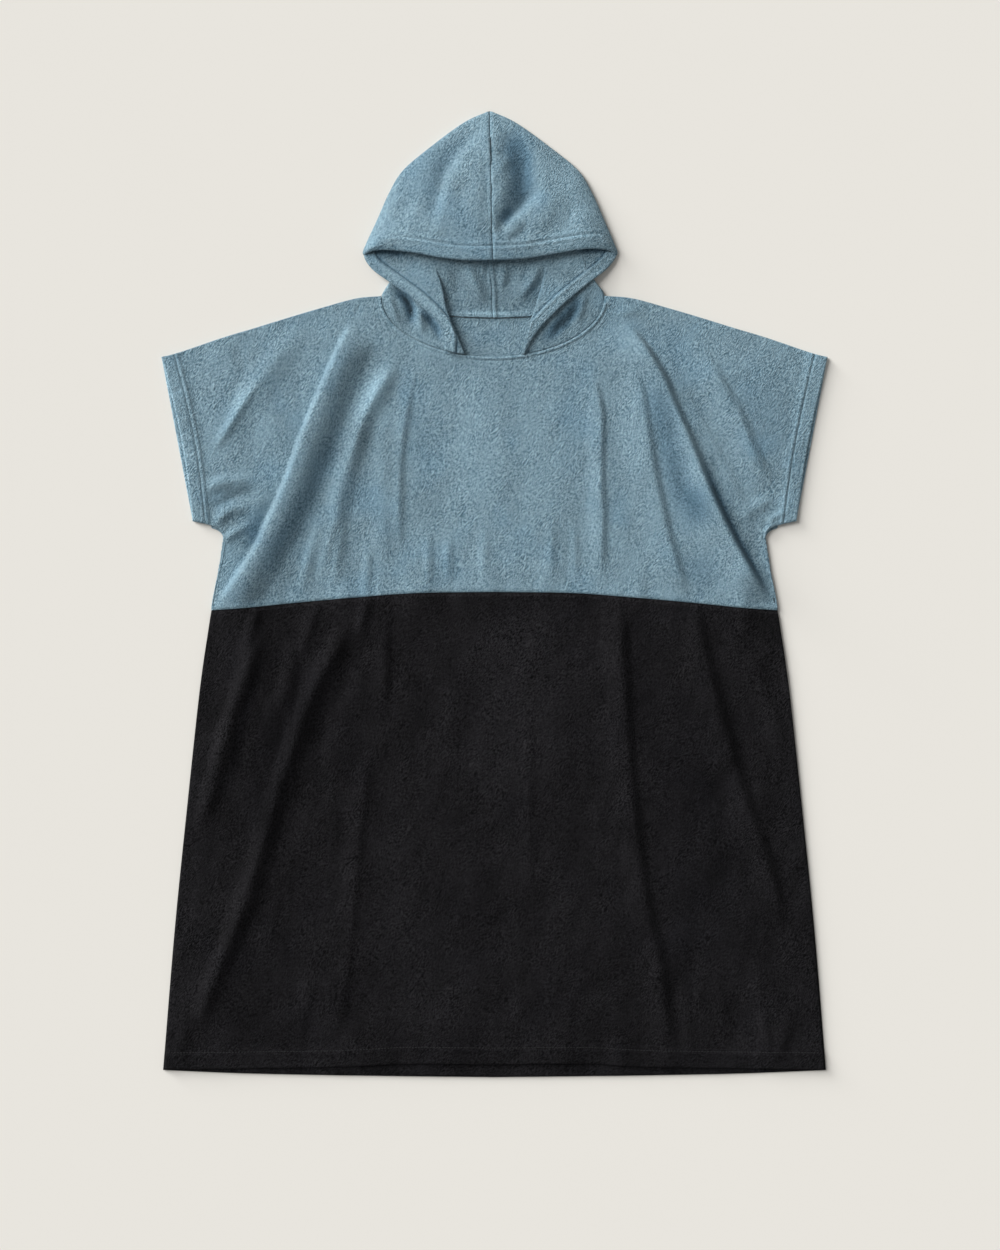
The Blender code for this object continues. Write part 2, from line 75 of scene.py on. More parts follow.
SHOULDER_LINE = [
    (143, 381), (177, 377.8), (221, 366), (265, 353), (307, 340), (347, 328), (406, 308), (426, 303)]
UNDERARM_LINE = [(386, 93), (364, 88), (350, 81), (344, 65)]
SIDE_LINE = [(344, 65), (349, 37), (354, 18), (359, -4), (362, -21)]
SKIRT_SIDE_LINE = [(362, -21), (366, -46), (377, -123), (393, -276), (408, -430), (422, -608)]
WAIST_LINE = [(362, -21), (319, -18), (250, -11), (182, -5), (100, 1), (0, 2.5)]
HEM_LINE = [(422, -608), (326, -607), (199, -605), (109, -601), (0, -602)]
BACK_HEM_LINE = [(424, -609), (326, -613), (211, -615.5), (100, -617), (0, -618)]
WAIST_HALF_WIDTH = WAIST_LINE[0][0]
# Half the width of the laid garment, sleeves included, at some heights, and the slope of its shoulders.
REACH_Y = (-608, -353, -123, -20, 18, 63, 95, 303)
REACH_X = (422, 401, 377, 362, 354, 343, 388, 426)
SLOPE_X, SLOPE_Y = (145, 426), (381, 303)
HEM_Y = -612.0              # about where the hem lies
NECK_REACH = 90.0           # about the radius of the neck's seam: makes a distance of a share of it
EDGE_FADE = 14.0            # folds and puckers fade out over this much at the sides and the shoulders
WAIST_BLEND = 32.0          # the blue's folds pass into the black's over this much

# A fold: the points it runs through, its height (a trough below nought), how far it falls away on its -X and
# on its +X side, and its crest, from 0, a soft swell and what it is when left out, to 1, a sharp crease.
# A crest below 0 keeps the +X side high for longer, so that it falls away late and steeply, as a rolled fold.
FOLD_TAPER = 60.0           # a fold rises from nothing over this much of its length, at both ends
FOLD_STEPS = 8              # straight steps that its curve takes between two of its points
BLUE_FOLDS = {
    "left_main": (((-180, 350), (-195, 319), (-215, 274), (-234, 229), (-251, 184), (-267, 140), (-286, 95),
        (-306, 56), (-330, 18), (-360, -22)), 17.0, 5, 44, -0.5),
    "left_chest": (((-126, 300), (-140, 274), (-166, 229), (-181, 184), (-195, 140), (-204, 95),
        (-213, 56), (-215, 10)), 6.5, 22, 22, 0.15),
    "left_sleeve": (((-240, 345), (-262, 319), (-299, 274), (-328, 229), (-352, 180)), 4.0, 22, 28, 0.1),
    "left_armpit_ridge": (((-378, 126), (-348, 142), (-300, 142)), 4.8, 14, 13, 0.2),
    "left_armpit_pinch": (((-362, 84), (-348, 98), (-334, 107), (-310, 108)), 4.8, 9, 9, 0.3),
    "left_armpit_pinch_2": (((-352, 60), (-338, 74), (-322, 84), (-308, 90)), 4.0, 8, 8, 0.3),
    "left_neck_pinch": (((-176, 384), (-174, 368), (-178, 352)), -1.8, 5, 7, 0.3),
    "left_neck_pinch_2": (((-156, 384), (-154, 372), (-160, 358)), -1.6, 4, 6, 0.3),
    "left_waist_1": (((-214, 120), (-226, 84), (-240, 36), (-248, -8)), 4.2, 10, 14, 0.2),
    "left_waist_2": (((-190, 100), (-201, 44), (-209, -6)), 2.8, 10, 16, 0.2),
    "left_waist_3": (((-160, 74), (-163, 36), (-165, -4)), 2.2, 8, 11, 0.1),
    "centre_left_swell": (((-140, 250), (-143, 130), (-140, 20)), 2.4, 20, 16),
    "waist_4": (((-84, 92), (-85, 44), (-85, 2)), 1.8, 7, 9, 0.1),
    "waist_5": (((-58, 82), (-60, 40), (-60, 2)), 2.0, 7, 9, 0.1),
    "waist_6": (((-15, 98), (-14, 48), (-13, 3)), 1.6, 9, 11, 0.1),
    "waist_7": (((72, 112), (73, 54), (74, 4)), 1.7, 9, 9, 0.1),
    "waist_8": (((102, 104), (102, 51), (103, 4)), 1.8, 8, 9, 0.1),
    "right_main": (((160, 352), (186, 322), (213, 280), (230, 240), (254, 184), (271, 140), (291, 95),
        (311, 56), (333, 18), (356, -16)), 11.0, 60, 8, 0.45),
    "right_main_low": (((252, 186), (271, 140), (291, 95), (311, 56), (333, 18),
        (350, -10)), 6.0, 26, 7, 0.5),
    "right_main_trough": (((214, 324), (262, 240), (300, 170), (346, 70)), -1.4, 8, 22),
    "right_sleeve": (((262, 322), (286, 274), (312, 229), (330, 184), (356, 132)), 4.4, 28, 12, 0.3),
    "right_inner": (((172, 300), (184, 272), (192, 229), (199, 184), (207, 140), (217, 95), (227, 56),
        (238, 18), (246, -8)), 4.6, 42, 9, 0.4),
    "right_centre": (((122, 292), (130, 260), (136, 229), (136, 184), (136, 140), (138, 95), (137, 56),
        (139, 8)), 3.7, 24, 8, 0.4),
    "right_inner_trough": (((208, 300), (228, 229), (240, 160), (262, 90)), -2.4, 20, 18),
    "right_armpit_ridge": (((312, 90), (335, 112), (362, 121)), 2.6, 14, 14, 0.3),
    "right_armpit_pinch": (((346, 84), (358, 98), (378, 107)), 2.0, 6, 7, 0.4),
    "right_armpit_pinch_2": (((341, 72), (350, 84), (362, 92)), 1.8, 5, 7, 0.4),
    "right_neck_roll": (((146, 352), (170, 362), (196, 366)), 3.0, 10, 10, 0.3),
    "right_neck_hollow": (((120, 334), (143, 348), (170, 354)), -1.6, 11, 11),
    "right_neck_pinch": (((148, 386), (150, 372), (148, 360)), -1.8, 5, 6, 0.3),
    "right_cuff_dent": (((372, 326), (390, 300), (400, 268)), -1.2, 12, 14),
    "left_cuff_dent": (((-424, 262), (-408, 259), (-394, 268)), -0.9, 6, 6),
    "left_main_crease": (((-270, 144), (-280, 122), (-289, 106), (-300, 82), (-313, 54),
        (-330, 22)), -4.2, 17, 3.5, 0.3),
    "centre_left": (((-106, 285), (-114, 229), (-120, 184), (-122, 140), (-122, 95), (-120, 40)),
        3.2, 26, 9, 0.3),
    "left_shoulder": (((-334, 326), (-324, 300), (-318, 278)), -1.6, 14, 14),
    "left_chest_top": (((-118, 312), (-136, 280), (-164, 229), (-180, 184), (-190, 150)), 3.0, 15, 15, 0.2),
    "left_sleeve_low": (((-296, 280), (-308, 262), (-323, 238), (-342, 208), (-364, 176)), 3.8, 10, 9, 0.4),
    "left_armpit_trough": (((-368, 104), (-350, 116), (-326, 126), (-296, 126)), -3.0, 9, 9, 0.3),
}
BLACK_FOLDS = {
    "left_edge": (((-296, -34), (-316, -97), (-334, -148), (-348, -200), (-362, -251), (-382, -310)),
        7.2, 16, 17, 0.1),
    "left_main": (((-176, -24), (-200, -66), (-220, -100), (-241, -148), (-259, -200), (-277, -251),
        (-292, -302), (-307, -353), (-323, -404), (-344, -456), (-364, -507),
        (-384, -564)), 8.6, 18, 20, 0.3),
    "left_main_trough": (((-150, -40), (-206, -148), (-252, -270), (-330, -480)), -1.8, 20, 20),
    "left_inner": (((-138, -8), (-139, -60), (-139, -110), (-146, -170)), 3.2, 18, 8, 0.4),
    "left_low": (((-158, -190), (-172, -302), (-184, -440), (-200, -575)), 3.0, 22, 10, 0.4),
    "centre_left": (((-50, -60), (-62, -220), (-48, -380)), 1.4, 30, 34),
    "centre_low": (((20, -400), (34, -500), (38, -590)), 1.6, 20, 22, 0.1),
    "right_inner": (((158, 4), (161, -26), (166, -151), (177, -277), (192, -392), (208, -465), (219, -543),
        (224, -590)), 6.2, 30, 13, 0.2),
    "right_main": (((242, 6), (255, -22), (268, -80), (286, -151), (307, -225), (328, -287), (346, -340),
        (360, -394), (368, -440)), 6.4, 30, 14, 0.2),
    "right_edge": (((316, -48), (350, -140), (376, -225)), 3.0, 22, 14, 0.3),
    "right_low_u": (((336, -490), (356, -590), (386, -512)), 2.2, 12, 12, 0.2),
    "right_low": (((276, -470), (291, -532), (302, -588)), 1.8, 16, 14, 0.1),
    "left_low_edge": (((-392, -520), (-396, -560), (-398, -600)), 1.6, 12, 16, 0.1),
    "centre_right": (((88, -150), (96, -300), (90, -450)), 1.2, 34, 30),
    "left_side": (((-254, -50), (-262, -97), (-276, -160)), 4.2, 16, 16),
    "centre": (((46, -140), (44, -270), (46, -400)), 1.8, 22, 9, 0.4),
    "right_low_2": (((238, -470), (246, -540), (250, -604)), 2.4, 12, 10, 0.2),
    "left_low_2": (((-236, -480), (-246, -545), (-252, -604)), 2.2, 12, 12, 0.2),
    "left_top_1": (((-296, 4), (-310, -40), (-326, -92)), 4.2, 12, 12, 0.1),
    "left_top_2": (((-222, 4), (-236, -40), (-250, -88)), 3.8, 12, 12, 0.1),
    "left_top_3": (((-156, 10), (-168, -30), (-180, -76)), 3.4, 12, 12, 0.1),
}
# Painted shade (below nought) and painted light (above it) where the folds are shaded or lit, in a fold's
# columns.
BLUE_PAINTED_SHADING = {
    "right_dark": (((190, 290), (214, 220), (232, 150), (262, 70)), -0.65, 28, 32),
    "right_dark_low": (((250, 60), (262, 30), (290, 5)), -0.35, 30, 40),
    "centre_light": (((60, 240), (64, 150), (60, 60)), 0.22, 46, 40),
    "sleeve_dark": (((-372, 260), (-352, 230), (-340, 200)), -0.10, 30, 30),
    "right_main_line": (((262, 180), (277, 140), (297, 95), (317, 56), (338, 18), (356, -12)), -1.4, 7, 9),
    "right_sleeve_dark": (((296, 310), (334, 230), (356, 150)), -0.20, 46, 80),
    "left_main_dark": (((-196, 226), (-211, 188), (-227, 152), (-249, 107), (-264, 82), (-280, 56),
        (-291, 30), (-299, 4)), -0.55, 20, 22),
    "left_chest_light": (((-160, 312), (-154, 262), (-152, 200)), 1.15, 56, 38),
    "left_sleeve_light": (((-322, 288), (-306, 240), (-300, 170)), 0.75, 42, 36),
    "centre_line_light": (((-26, 300), (-22, 200), (-24, 90)), 0.4, 50, 50),
    "right_middle_dark": (((252, 148), (264, 108), (272, 78)), -0.6, 24, 24),
    "left_low_dark": (((-302, 120), (-306, 90), (-300, 52)), -0.55, 24, 18),
}
# Painted shade and painted light on the black, where its folds are shaded or lit, in the same columns.
BLACK_PAINTED_SHADING = {
    "centre_top": (((30, -10), (28, -130), (10, -270)), 0.75, 150, 90),
    "left_low": (((-120, -280), (-160, -400), (-150, -520)), 0.35, 90, 90),
    "right_dark": (((250, -120), (270, -300), (260, -500)), -0.35, 90, 110),
    "left_dark": (((-210, -60), (-270, -180), (-320, -330)), -0.45, 40, 60),
    "left_side_light": (((-350, -120), (-374, -260), (-396, -420), (-404, -560)), 0.2, 60, 50),
    "right_side_light": (((330, -60), (372, -300), (400, -520)), 0.2, 50, 60),
    "left_edge_dark": (((-292, -70), (-306, -110), (-318, -150), (-330, -200), (-344, -262)), -0.9, 13, 13),
}

# The hood's sections, from the neck to the crown: the places of its face edge, lapel fold, side fold and
# centre seam, and the heights of the face edge, the cloth beside it, the lapel's two layers and the side.
HOOD_COLUMNS = ("edge_x edge_y lapel_x lapel_y side_x side_y seam_x seam_y "
                "edge_z under_z lapel_z lapel_low_z side_z").split()
LEFT_HOOD = [
    (-64, 309, -39, 306, -145, 381, -2, 353, 9, 9, 9, 5.1, 5.1),
    (-66, 336, -50, 333, -141, 387, -3, 367, 11, 10.6, 10.4, 6.4, 6.3),
    (-96, 369, -61, 361, -136, 394, -3, 381, 13, 12, 11.5, 7.6, 7.4),
    (-133.5, 397.5, -68, 393, -130, 404, -4, 399, 13, 11.5, 11.5, 8, 8),
    (-157, 415.5, -74, 412, -125, 417, -7, 417, 9.5, 7.5, 10.5, 8, 8),
    (-167, 433, -77, 430, -118, 435, -9, 435, 6.5, 4.4, 9, 6.5, 7),
    (-163, 448, -81, 453, -111, 458, -8, 456, 4, 1.3, 10, 5, 5.5),
    (-150, 476, -88, 481, -98, 484, -7, 481, 4, 1.1, 8, 4.4, 4.6),
    (-134, 512, -98, 511, -82, 513, -6, 509, 4, 1.1, 4, 2.2, 2),
    (-117, 540, -90, 541, -56, 544, -6, 545, 4, 1.1, 1.1, 1.1, 1.1),
    (-86, 567, -66, 571, -34, 574, -6, 576, 4, 1.1, 1.1, 1.1, 1.1),
    (-40, 601, -29, 603, -17, 605, -6, 606, 4, 1.1, 1.1, 1.1, 1.1),
    (-6, 617, -6, 617, -6, 617, -6, 617, 4, 5, 5, 5, 5)]
RIGHT_HOOD = [
    (39, 308, 36, 308, 141, 381, -2, 353, 9, 9, 9, 5.1, 5.1),
    (52, 332, 42, 334, 138, 387, -3, 367, 11, 10.6, 10.4, 6.4, 6.3),
    (84, 366, 51, 361, 132, 394, -3, 381, 13, 12, 11.5, 7.6, 7.4),
    (121, 397, 60, 390, 125, 404, -4, 399, 11.5, 10.5, 11.5, 8, 8),
    (144, 416, 65, 412, 118, 417, -7, 417, 6.4, 5.4, 10.5, 8, 8),
    (156, 433, 68, 430, 112, 435, -9, 435, 3.6, 3, 9, 6.5, 7),
    (152, 448, 72, 453, 104, 458, -8, 456, 3, 1.3, 10, 5, 5.5),
    (140, 476, 77, 481, 90, 484, -7, 481, 4, 1.1, 8, 4.4, 4.6),
    (124, 512, 86, 511, 74, 513, -6, 509, 4, 1.1, 4, 2.2, 2),
    (107, 540, 80, 541, 46, 544, -6, 545, 4, 1.1, 1.1, 1.1, 1.1),
    (75, 567, 55, 571, 22, 574, -6, 576, 4, 1.1, 1.1, 1.1, 1.1),
    (28, 601, 17, 603, 5, 605, -6, 606, 4, 1.1, 1.1, 1.1, 1.1),
    (-6, 617, -6, 617, -6, 617, -6, 617, 4, 5, 5, 5, 5)]
FIRST_HEIGHT = HOOD_COLUMNS.index("edge_z")
BRIM_ROW = 5                # the row at the brim's corner, where the face edge turns over the hood's top
# The brim, from its corner to the centre seam: place and height.
LEFT_BRIM = [
    (-167, 433, 6.5), (-151.5, 438, 14), (-127, 437.5, 17.5), (-98, 433.7, 20), (-72, 428.5, 22.5),
    (-40, 424.5, 24.5), (-18, 424, 25.5), (-2, 424.5, 26)]
RIGHT_BRIM = [
    (156, 433, 3.6), (146, 438.5, 9), (125, 440.5, 14), (102, 438, 17.5), (76, 433, 20.5),
    (45, 427.5, 23), (20, 425, 25), (-2, 424.5, 26)]
HOOD_DOME = 2.0             # the top of the hood stands this much higher than its brim
HOOD_ROLL = 2.5             # how steeply the top rises from the hood's soft outer edge
BACK_AIR = 2.6              # the inside of the hood's back lies this much clear of the ground
BRIM_AIR = 7.5              # and this much more under the brim
# Folds of the top of the hood, in plan, in the same columns as the panels' folds.
HOOD_TOP_FOLDS = {
    "left_drop": (((-10, 604), (-40, 572), (-60, 545), (-70, 512), (-79, 480), (-78, 454)),
        -4.2, 26, 13, 0.3),
    "left_side": (((-100, 520), (-118, 486), (-130, 460)), -1.6, 16, 18),
    "left_dimple": (((-26, 528), (-44, 506), (-36, 478)), -1.8, 18, 16),
    "left_brim_swell": (((-150, 462), (-92, 470), (-30, 452)), 1.2, 20, 20),
    "seam_valley_left": (((-8, 590), (-8, 540), (-7, 480), (-6, 450)), -2.0, 16, 2),
    "right_crown_hollow": (((6, 600), (20, 574), (31, 545), (35, 520), (30, 496), (16, 472), (8, 452)),
        -8.2, 28, 32),
    "right_diagonal_low": (((10, 474), (24, 486), (43, 504), (58, 522)), -4.2, 12, 12, 0.3),
    "right_diagonal_light": (((12, 462), (36, 482), (60, 504)), 2.6, 12, 16, 0.2),
    "right_pucker": (((4, 540), (16, 552), (26, 558)), 2.2, 8, 8, 0.2),
    "right_lowest": (((14, 446), (30, 456), (48, 474)), -2.0, 10, 12, 0.2),
    "right_light": (((50, 452), (66, 480), (84, 520)), 2.0, 22, 14),
    "right_hollow": (((84, 460), (96, 484), (104, 510)), -2.0, 16, 20),
    "right_seam_pit": (((32, 500), (20, 486), (10, 470), (5, 450)), -3.6, 12, 13, 0.1),
}
# Painted shade in the top's hollows and on its left, painted light on its right and low parts, in a fold's
# columns.
HOOD_TOP_PAINTED_SHADING = {
    "left_edge_dark": (((-30, 600), (-84, 548), (-116, 500), (-134, 474)), -0.25, 40, 34),
    "left_drop_dark": (((-20, 596), (-62, 550), (-80, 508), (-86, 474)), -0.30, 18, 10),
    "right_dark": (((10, 600), (24, 572), (33, 542), (30, 512), (15, 478)), -1.25, 22, 28),
    "right_edge_light": (((50, 572), (88, 520), (116, 480), (128, 454)), 0.42, 34, 54),
    "low_light": (((-120, 462), (-70, 458), (-20, 452)), 0.30, 30, 30),
    "right_low_light": (((66, 508), (98, 474), (126, 452)), 0.68, 46, 40),
    "right_seam_pit": (((24, 494), (14, 480), (8, 468)), -1.2, 12, 12),
    "right_low_band": (((36, 450), (70, 454), (104, 454), (140, 450)), 0.75, 18, 18),
    "left_low_band": (((-152, 450), (-120, 454), (-84, 452)), 0.5, 16, 16),
    "right_brim_light": (((44, 436), (100, 441), (146, 440)), 0.6, 12, 12),
}
# Folds of the hood's low front, the side of the neck, which the lapel half covers.
HOOD_SIDE_FOLDS = {
    "left_side_1": (((-137, 390), (-133, 372), (-124, 348), (-118, 336)), 3.4, 8, 8, 0.3),
    "left_pocket": (((-134, 396), (-120, 386), (-109, 372), (-106, 352), (-108, 334)), -6.0, 12, 11, 0.2),
    "left_side_2": (((-102, 366), (-95, 350), (-92, 330)), 3.6, 8, 8, 0.3),
    "left_pocket_2": (((-94, 364), (-81, 348), (-73, 336), (-69, 318)), -4.6, 9, 12, 0.2),
    "right_side_1": (((118, 392), (112, 370), (104, 340)), 3.0, 14, 8, 0.4),
    "right_side_2": (((100, 376), (92, 352), (82, 328)), 2.6, 12, 8, 0.4),
    "right_side_3": (((80, 358), (74, 340), (64, 320)), 2.0, 9, 7, 0.3),
    "right_pocket": (((66, 322), (80, 340), (98, 360), (110, 384)), -3.0, 12, 12, 0.1),
}
# Folds of the inside of the hood's back, seen between the lapels.
HOOD_BACK_FOLDS = {
    "left_back_edge": (((-54, 424), (-50, 402), (-46, 386), (-42, 370)), -2.4, 10, 12, 0.1),
    "left_back_1": (((-37, 428), (-28, 404), (-19, 388), (-8, 371)), 5.5, 14, 12, 0.2),
    "left_back_2": (((-10, 430), (-9, 404), (-8, 392)), -2.4, 6, 4, 0.2),
    "right_back_1": (((60, 426), (52, 403), (40, 388), (28, 372)), 6.5, 18, 8, 0.3),
    "right_back_2": (((28, 422), (21, 403), (14, 388)), -2.4, 8, 10, 0.2),
    "right_back_3": (((62, 424), (56, 404), (50, 384)), -2.0, 8, 10, 0.2),
    "right_back_seam": (((12, 432), (11, 404), (8, 384)), 3.0, 6, 7, 0.2),
}
# Painted shade under the brim's corners and beside the lapels; painted light on the neck band, face hems and
# back.
HOOD_LOWER_PAINTED_SHADING = {
    "left_corner": (((-163, 436), (-148, 439), (-128, 436), (-104, 431)), -1.0, 9, 8),
    "right_corner": (((154, 437), (138, 440), (118, 440), (98, 436)), -1.0, 8, 8),
    "left_pocket": (((-132, 392), (-121, 383), (-110, 371), (-106, 354), (-108, 340)), -2.0, 10, 11),
    "left_pocket_2": (((-100, 368), (-86, 353), (-74, 338), (-69, 320)), -1.4, 7, 10),
    "right_pocket": (((58, 318), (74, 334), (92, 352), (104, 368), (112, 390)), -1.9, 14, 12),
    "neck_band": (((-62, 361), (-30, 359), (0, 358), (30, 358.5), (52, 360)), 0.8, 4, 4),
    "left_hem_light": (((-152, 421), (-128, 405), (-91, 377), (-60, 344), (-54, 309)), 0.5, 9, 9),
    "right_hem_light": (((138, 421), (115, 404), (78, 373), (46, 338), (33, 310)), 0.35, 9, 9),
    "back_light": (((-46, 410), (0, 404), (46, 410)), 0.45, 26, 24),
    "right_lapel_light": (((74, 424), (100, 420), (128, 424)), 0.6, 16, 16),
    "back_right_light": (((46, 422), (56, 402), (60, 382)), 0.4, 16, 16),
}

# ---- the colours, as linear values ----
# Each tint is the hue that random patches and painted shade lean towards.
BLUE = dict(dark=(0.078, 0.148, 0.193), light=(0.290, 0.418, 0.490), tint=(0.75, 0.91, 1.03))
BLACK = dict(dark=(0.0010, 0.0010, 0.0013), light=(0.0180, 0.0173, 0.0190), tint=(0.92, 0.93, 1.0))
EDGE_LIGHT = 1.2            # the nap of a turned edge stands open and looks lighter by this much
NAP_AND_SHADING_SHARE = 0.4             # how much lighter or darker the painted light and shade, and the turned edges' nap, make the colour
STREAK, SPECK, CLUMP = 1.15, 0.95, 5.0      # sizes of the pile's pattern
WISP, RUFFLE, CLOUD, PATCH = 17, 30, 46, 70         # and of the swells in it
PILE_LEAN = -42             # its streaks and clumps run this many degrees from +Y
THREAD_BLUE = (0.150, 0.235, 0.285)
THREAD_BLACK = (0.0085, 0.0083, 0.0095)
FLOOR_COLOUR = (0.807, 0.783, 0.730)


# ---- small helpers ----
def ease(value):
    """Smooth step: 0 below nought, 1 above one, and a soft S between them."""
    value = np.clip(value, 0.0, 1.0)
    return value * value * (3.0 - 2.0 * value)


def beyond(distance, start, soft):
    """0 up to `start` from an edge, then up to 1 over `soft` in a soft step."""
    return ease((distance - start) / soft)


def within(distance, reach, soft):
    """1 up to `reach` from an edge, then down to 0 over `soft` in a soft step."""
    return 1 - beyond(distance, reach, soft)


def ridge_at(distance, centre, width):
    """A rounded ridge: 1 at its centre, falling away over about `width` on both sides."""
    return np.exp(-((distance - centre) / width) ** 2)


def fading(distance, length):
    """1 at an edge, and about a third of what it was after each `length` away from it."""
    return np.exp(-distance / length)


def smooth_rows(table, where):
    """Catmull-Rom curve through the rows of a table, read at the row numbers in `where`."""
    table = np.asarray(table, float)
    padded = np.vstack([2 * table[0] - table[1], table, 2 * table[-1] - table[-2]])
    where = np.asarray(where, float)
    index = np.clip(where.astype(int), 0, len(table) - 2)
    t = (where - index)[:, None]
    p0, p1, p2, p3 = (padded[index + k] for k in range(4))
    return 0.5 * (2 * p1 + (p2 - p0) * t + (2 * p0 - 5 * p1 + 4 * p2 - p3) * t ** 2
                  + (3 * p1 - p0 - 3 * p2 + p3) * t ** 3)


def run_length(points):
    """Length along a line of points, from its first one."""
    steps = np.sqrt((np.diff(points, axis=0) ** 2).sum(axis=1))
    return np.concatenate([[0], np.cumsum(steps)])


def stretch(points, stations):
    """A smooth stretch of outline through the points, read at the given shares of its length."""
    fine = smooth_rows(points, np.linspace(0, len(points) - 1, 40 * len(points)))
    run = run_length(fine)
    return np.stack([np.interp(stations * run[-1], run, fine[:, k]) for k in range(2)], axis=1)


def chain(*stretches):
    """Joins stretches end to end, each one's first point being the last one's end."""
    return np.vstack([stretches[0]] + [piece[1:] for piece in stretches[1:]])


def shares(length, steps, fine_start, fine_end=()):
    """Shares of a length from 0 to 1: the fine distances at its two ends and equal steps between them."""
    start = np.array([0.0, *fine_start]) / length
    end = 1 - np.array([0.0, *fine_end])[::-1] / length
    return np.concatenate([start[:-1], np.linspace(start[-1], end[0], steps + 1), end[1:]])


def neck_curve(cosines, drop, clearance):
    """Lower half of the neck's ellipse at the given cosines of its angle, moved out by clearance."""
    sines = -np.sqrt(np.clip(1 - cosines ** 2, 0, 1))
    return np.stack([NECK_X + (NECK_HALF_WIDTH + clearance) * cosines,
                     NECK_Y + (drop + clearance) * sines], axis=1)


def lattice_noise(x, y, size, seed):
    """Smooth noise between -1 and 1: random values on a square lattice, eased between its points. Each use
    of it has its own seed, so that no two patterns are alike."""
    values = np.random.default_rng(seed).uniform(-1, 1, (128, 128))
    u, v = x / size + 41.3, y / size + 67.9
    i, j = np.floor(u).astype(int), np.floor(v).astype(int)
    fu, fv = ease(u - i), ease(v - j)
    i, j = i % 127, j % 127
    low = values[i, j] * (1 - fu) + values[i + 1, j] * fu
    high = values[i, j + 1] * (1 - fu) + values[i + 1, j + 1] * fu
    return low * (1 - fv) + high * fv


def crumple(x, y, seed):
    """Uneven lie of soft towelling: three sizes of noise, the largest turned against the others."""
    return (0.55 * lattice_noise(x * 0.8 + y * 0.35, y * 0.6 - x * 0.2, 74, seed)
            + 0.28 * lattice_noise(x + 0.5 * y, y * 0.7, 33, seed + 1)
            + 0.13 * lattice_noise(x, y, 13, seed + 2))


def pile(x, y, seed):
    """The pile's own small lumps, under the finish's fine grain."""
    return 0.16 * lattice_noise(x, y, 5.2, seed) + 0.10 * lattice_noise(x + y, y - x, 3.7, seed + 1)


# ---- folds ----
def fold_height(x, y, path, high, left, right, crest=0.0):
    """Height of one fold: its distance from its own curve, eased off to each side and towards both ends."""
    curve = smooth_rows(path, np.linspace(0, len(path) - 1, FOLD_STEPS * (len(path) - 1) + 1))
    run = run_length(curve)
    taper = min(FOLD_TAPER, 0.4 * run[-1])
    (low_x, low_y), (high_x, high_y) = curve.min(axis=0), curve.max(axis=0)
    reach = max(left, right)
    near = (x > low_x - reach) & (x < high_x + reach) & (y > low_y - reach) & (y < high_y + reach)
    px, py = x[near], y[near]
    best = np.full(px.shape, np.inf)
    value = np.zeros(px.shape)
    for start, end, run_start in zip(curve[:-1], curve[1:], run[:-1]):
        way = end - start
        length = np.hypot(*way)
        along = np.clip(((px - start[0]) * way[0] + (py - start[1]) * way[1]) / length ** 2, 0, 1)
        off_x, off_y = px - start[0] - along * way[0], py - start[1] - along * way[1]
        distance = np.hypot(off_x, off_y)
        share = np.clip(distance / np.where(off_x < 0, left, right), 0, 1)
        place = run_start + along * length
        ends = ease(place / taper) * ease((run[-1] - place) / taper)
        soft = 1 - ease(share ** (1 + max(0, -crest) * (off_x > 0)))
        profile = soft + max(0, crest) * ((1 - share) ** 2 - soft)
        nearer = distance < best
        best = np.where(nearer, distance, best)
        value = np.where(nearer, high * ends * profile, value)
    height = np.zeros(x.shape)
    height[near] = value
    return height


def all_folds(x, y, table):
    """Sum of the folds in a table."""
    return sum(fold_height(x, y, *fold) for fold in table.values())


def side_folds(x, y, table, side_sign):
    """Sum of the folds in a table that start on one side of the hood's centre seam."""
    return sum(fold_height(x, y, *fold) for fold in table.values() if fold[0][0][0] * side_sign > 0)


# ---- heights of the front panels ----
def stitch_groove(distance, row, depth, width=1.5):
    """A row of stitching sinks into the pile as a narrow groove, and the pile swells beside it."""
    off = (distance - row) / width
    return depth * (0.35 * ridge_at(np.abs(off), 2.0, 1.0) - ridge_at(off, 0.0, 1.0))


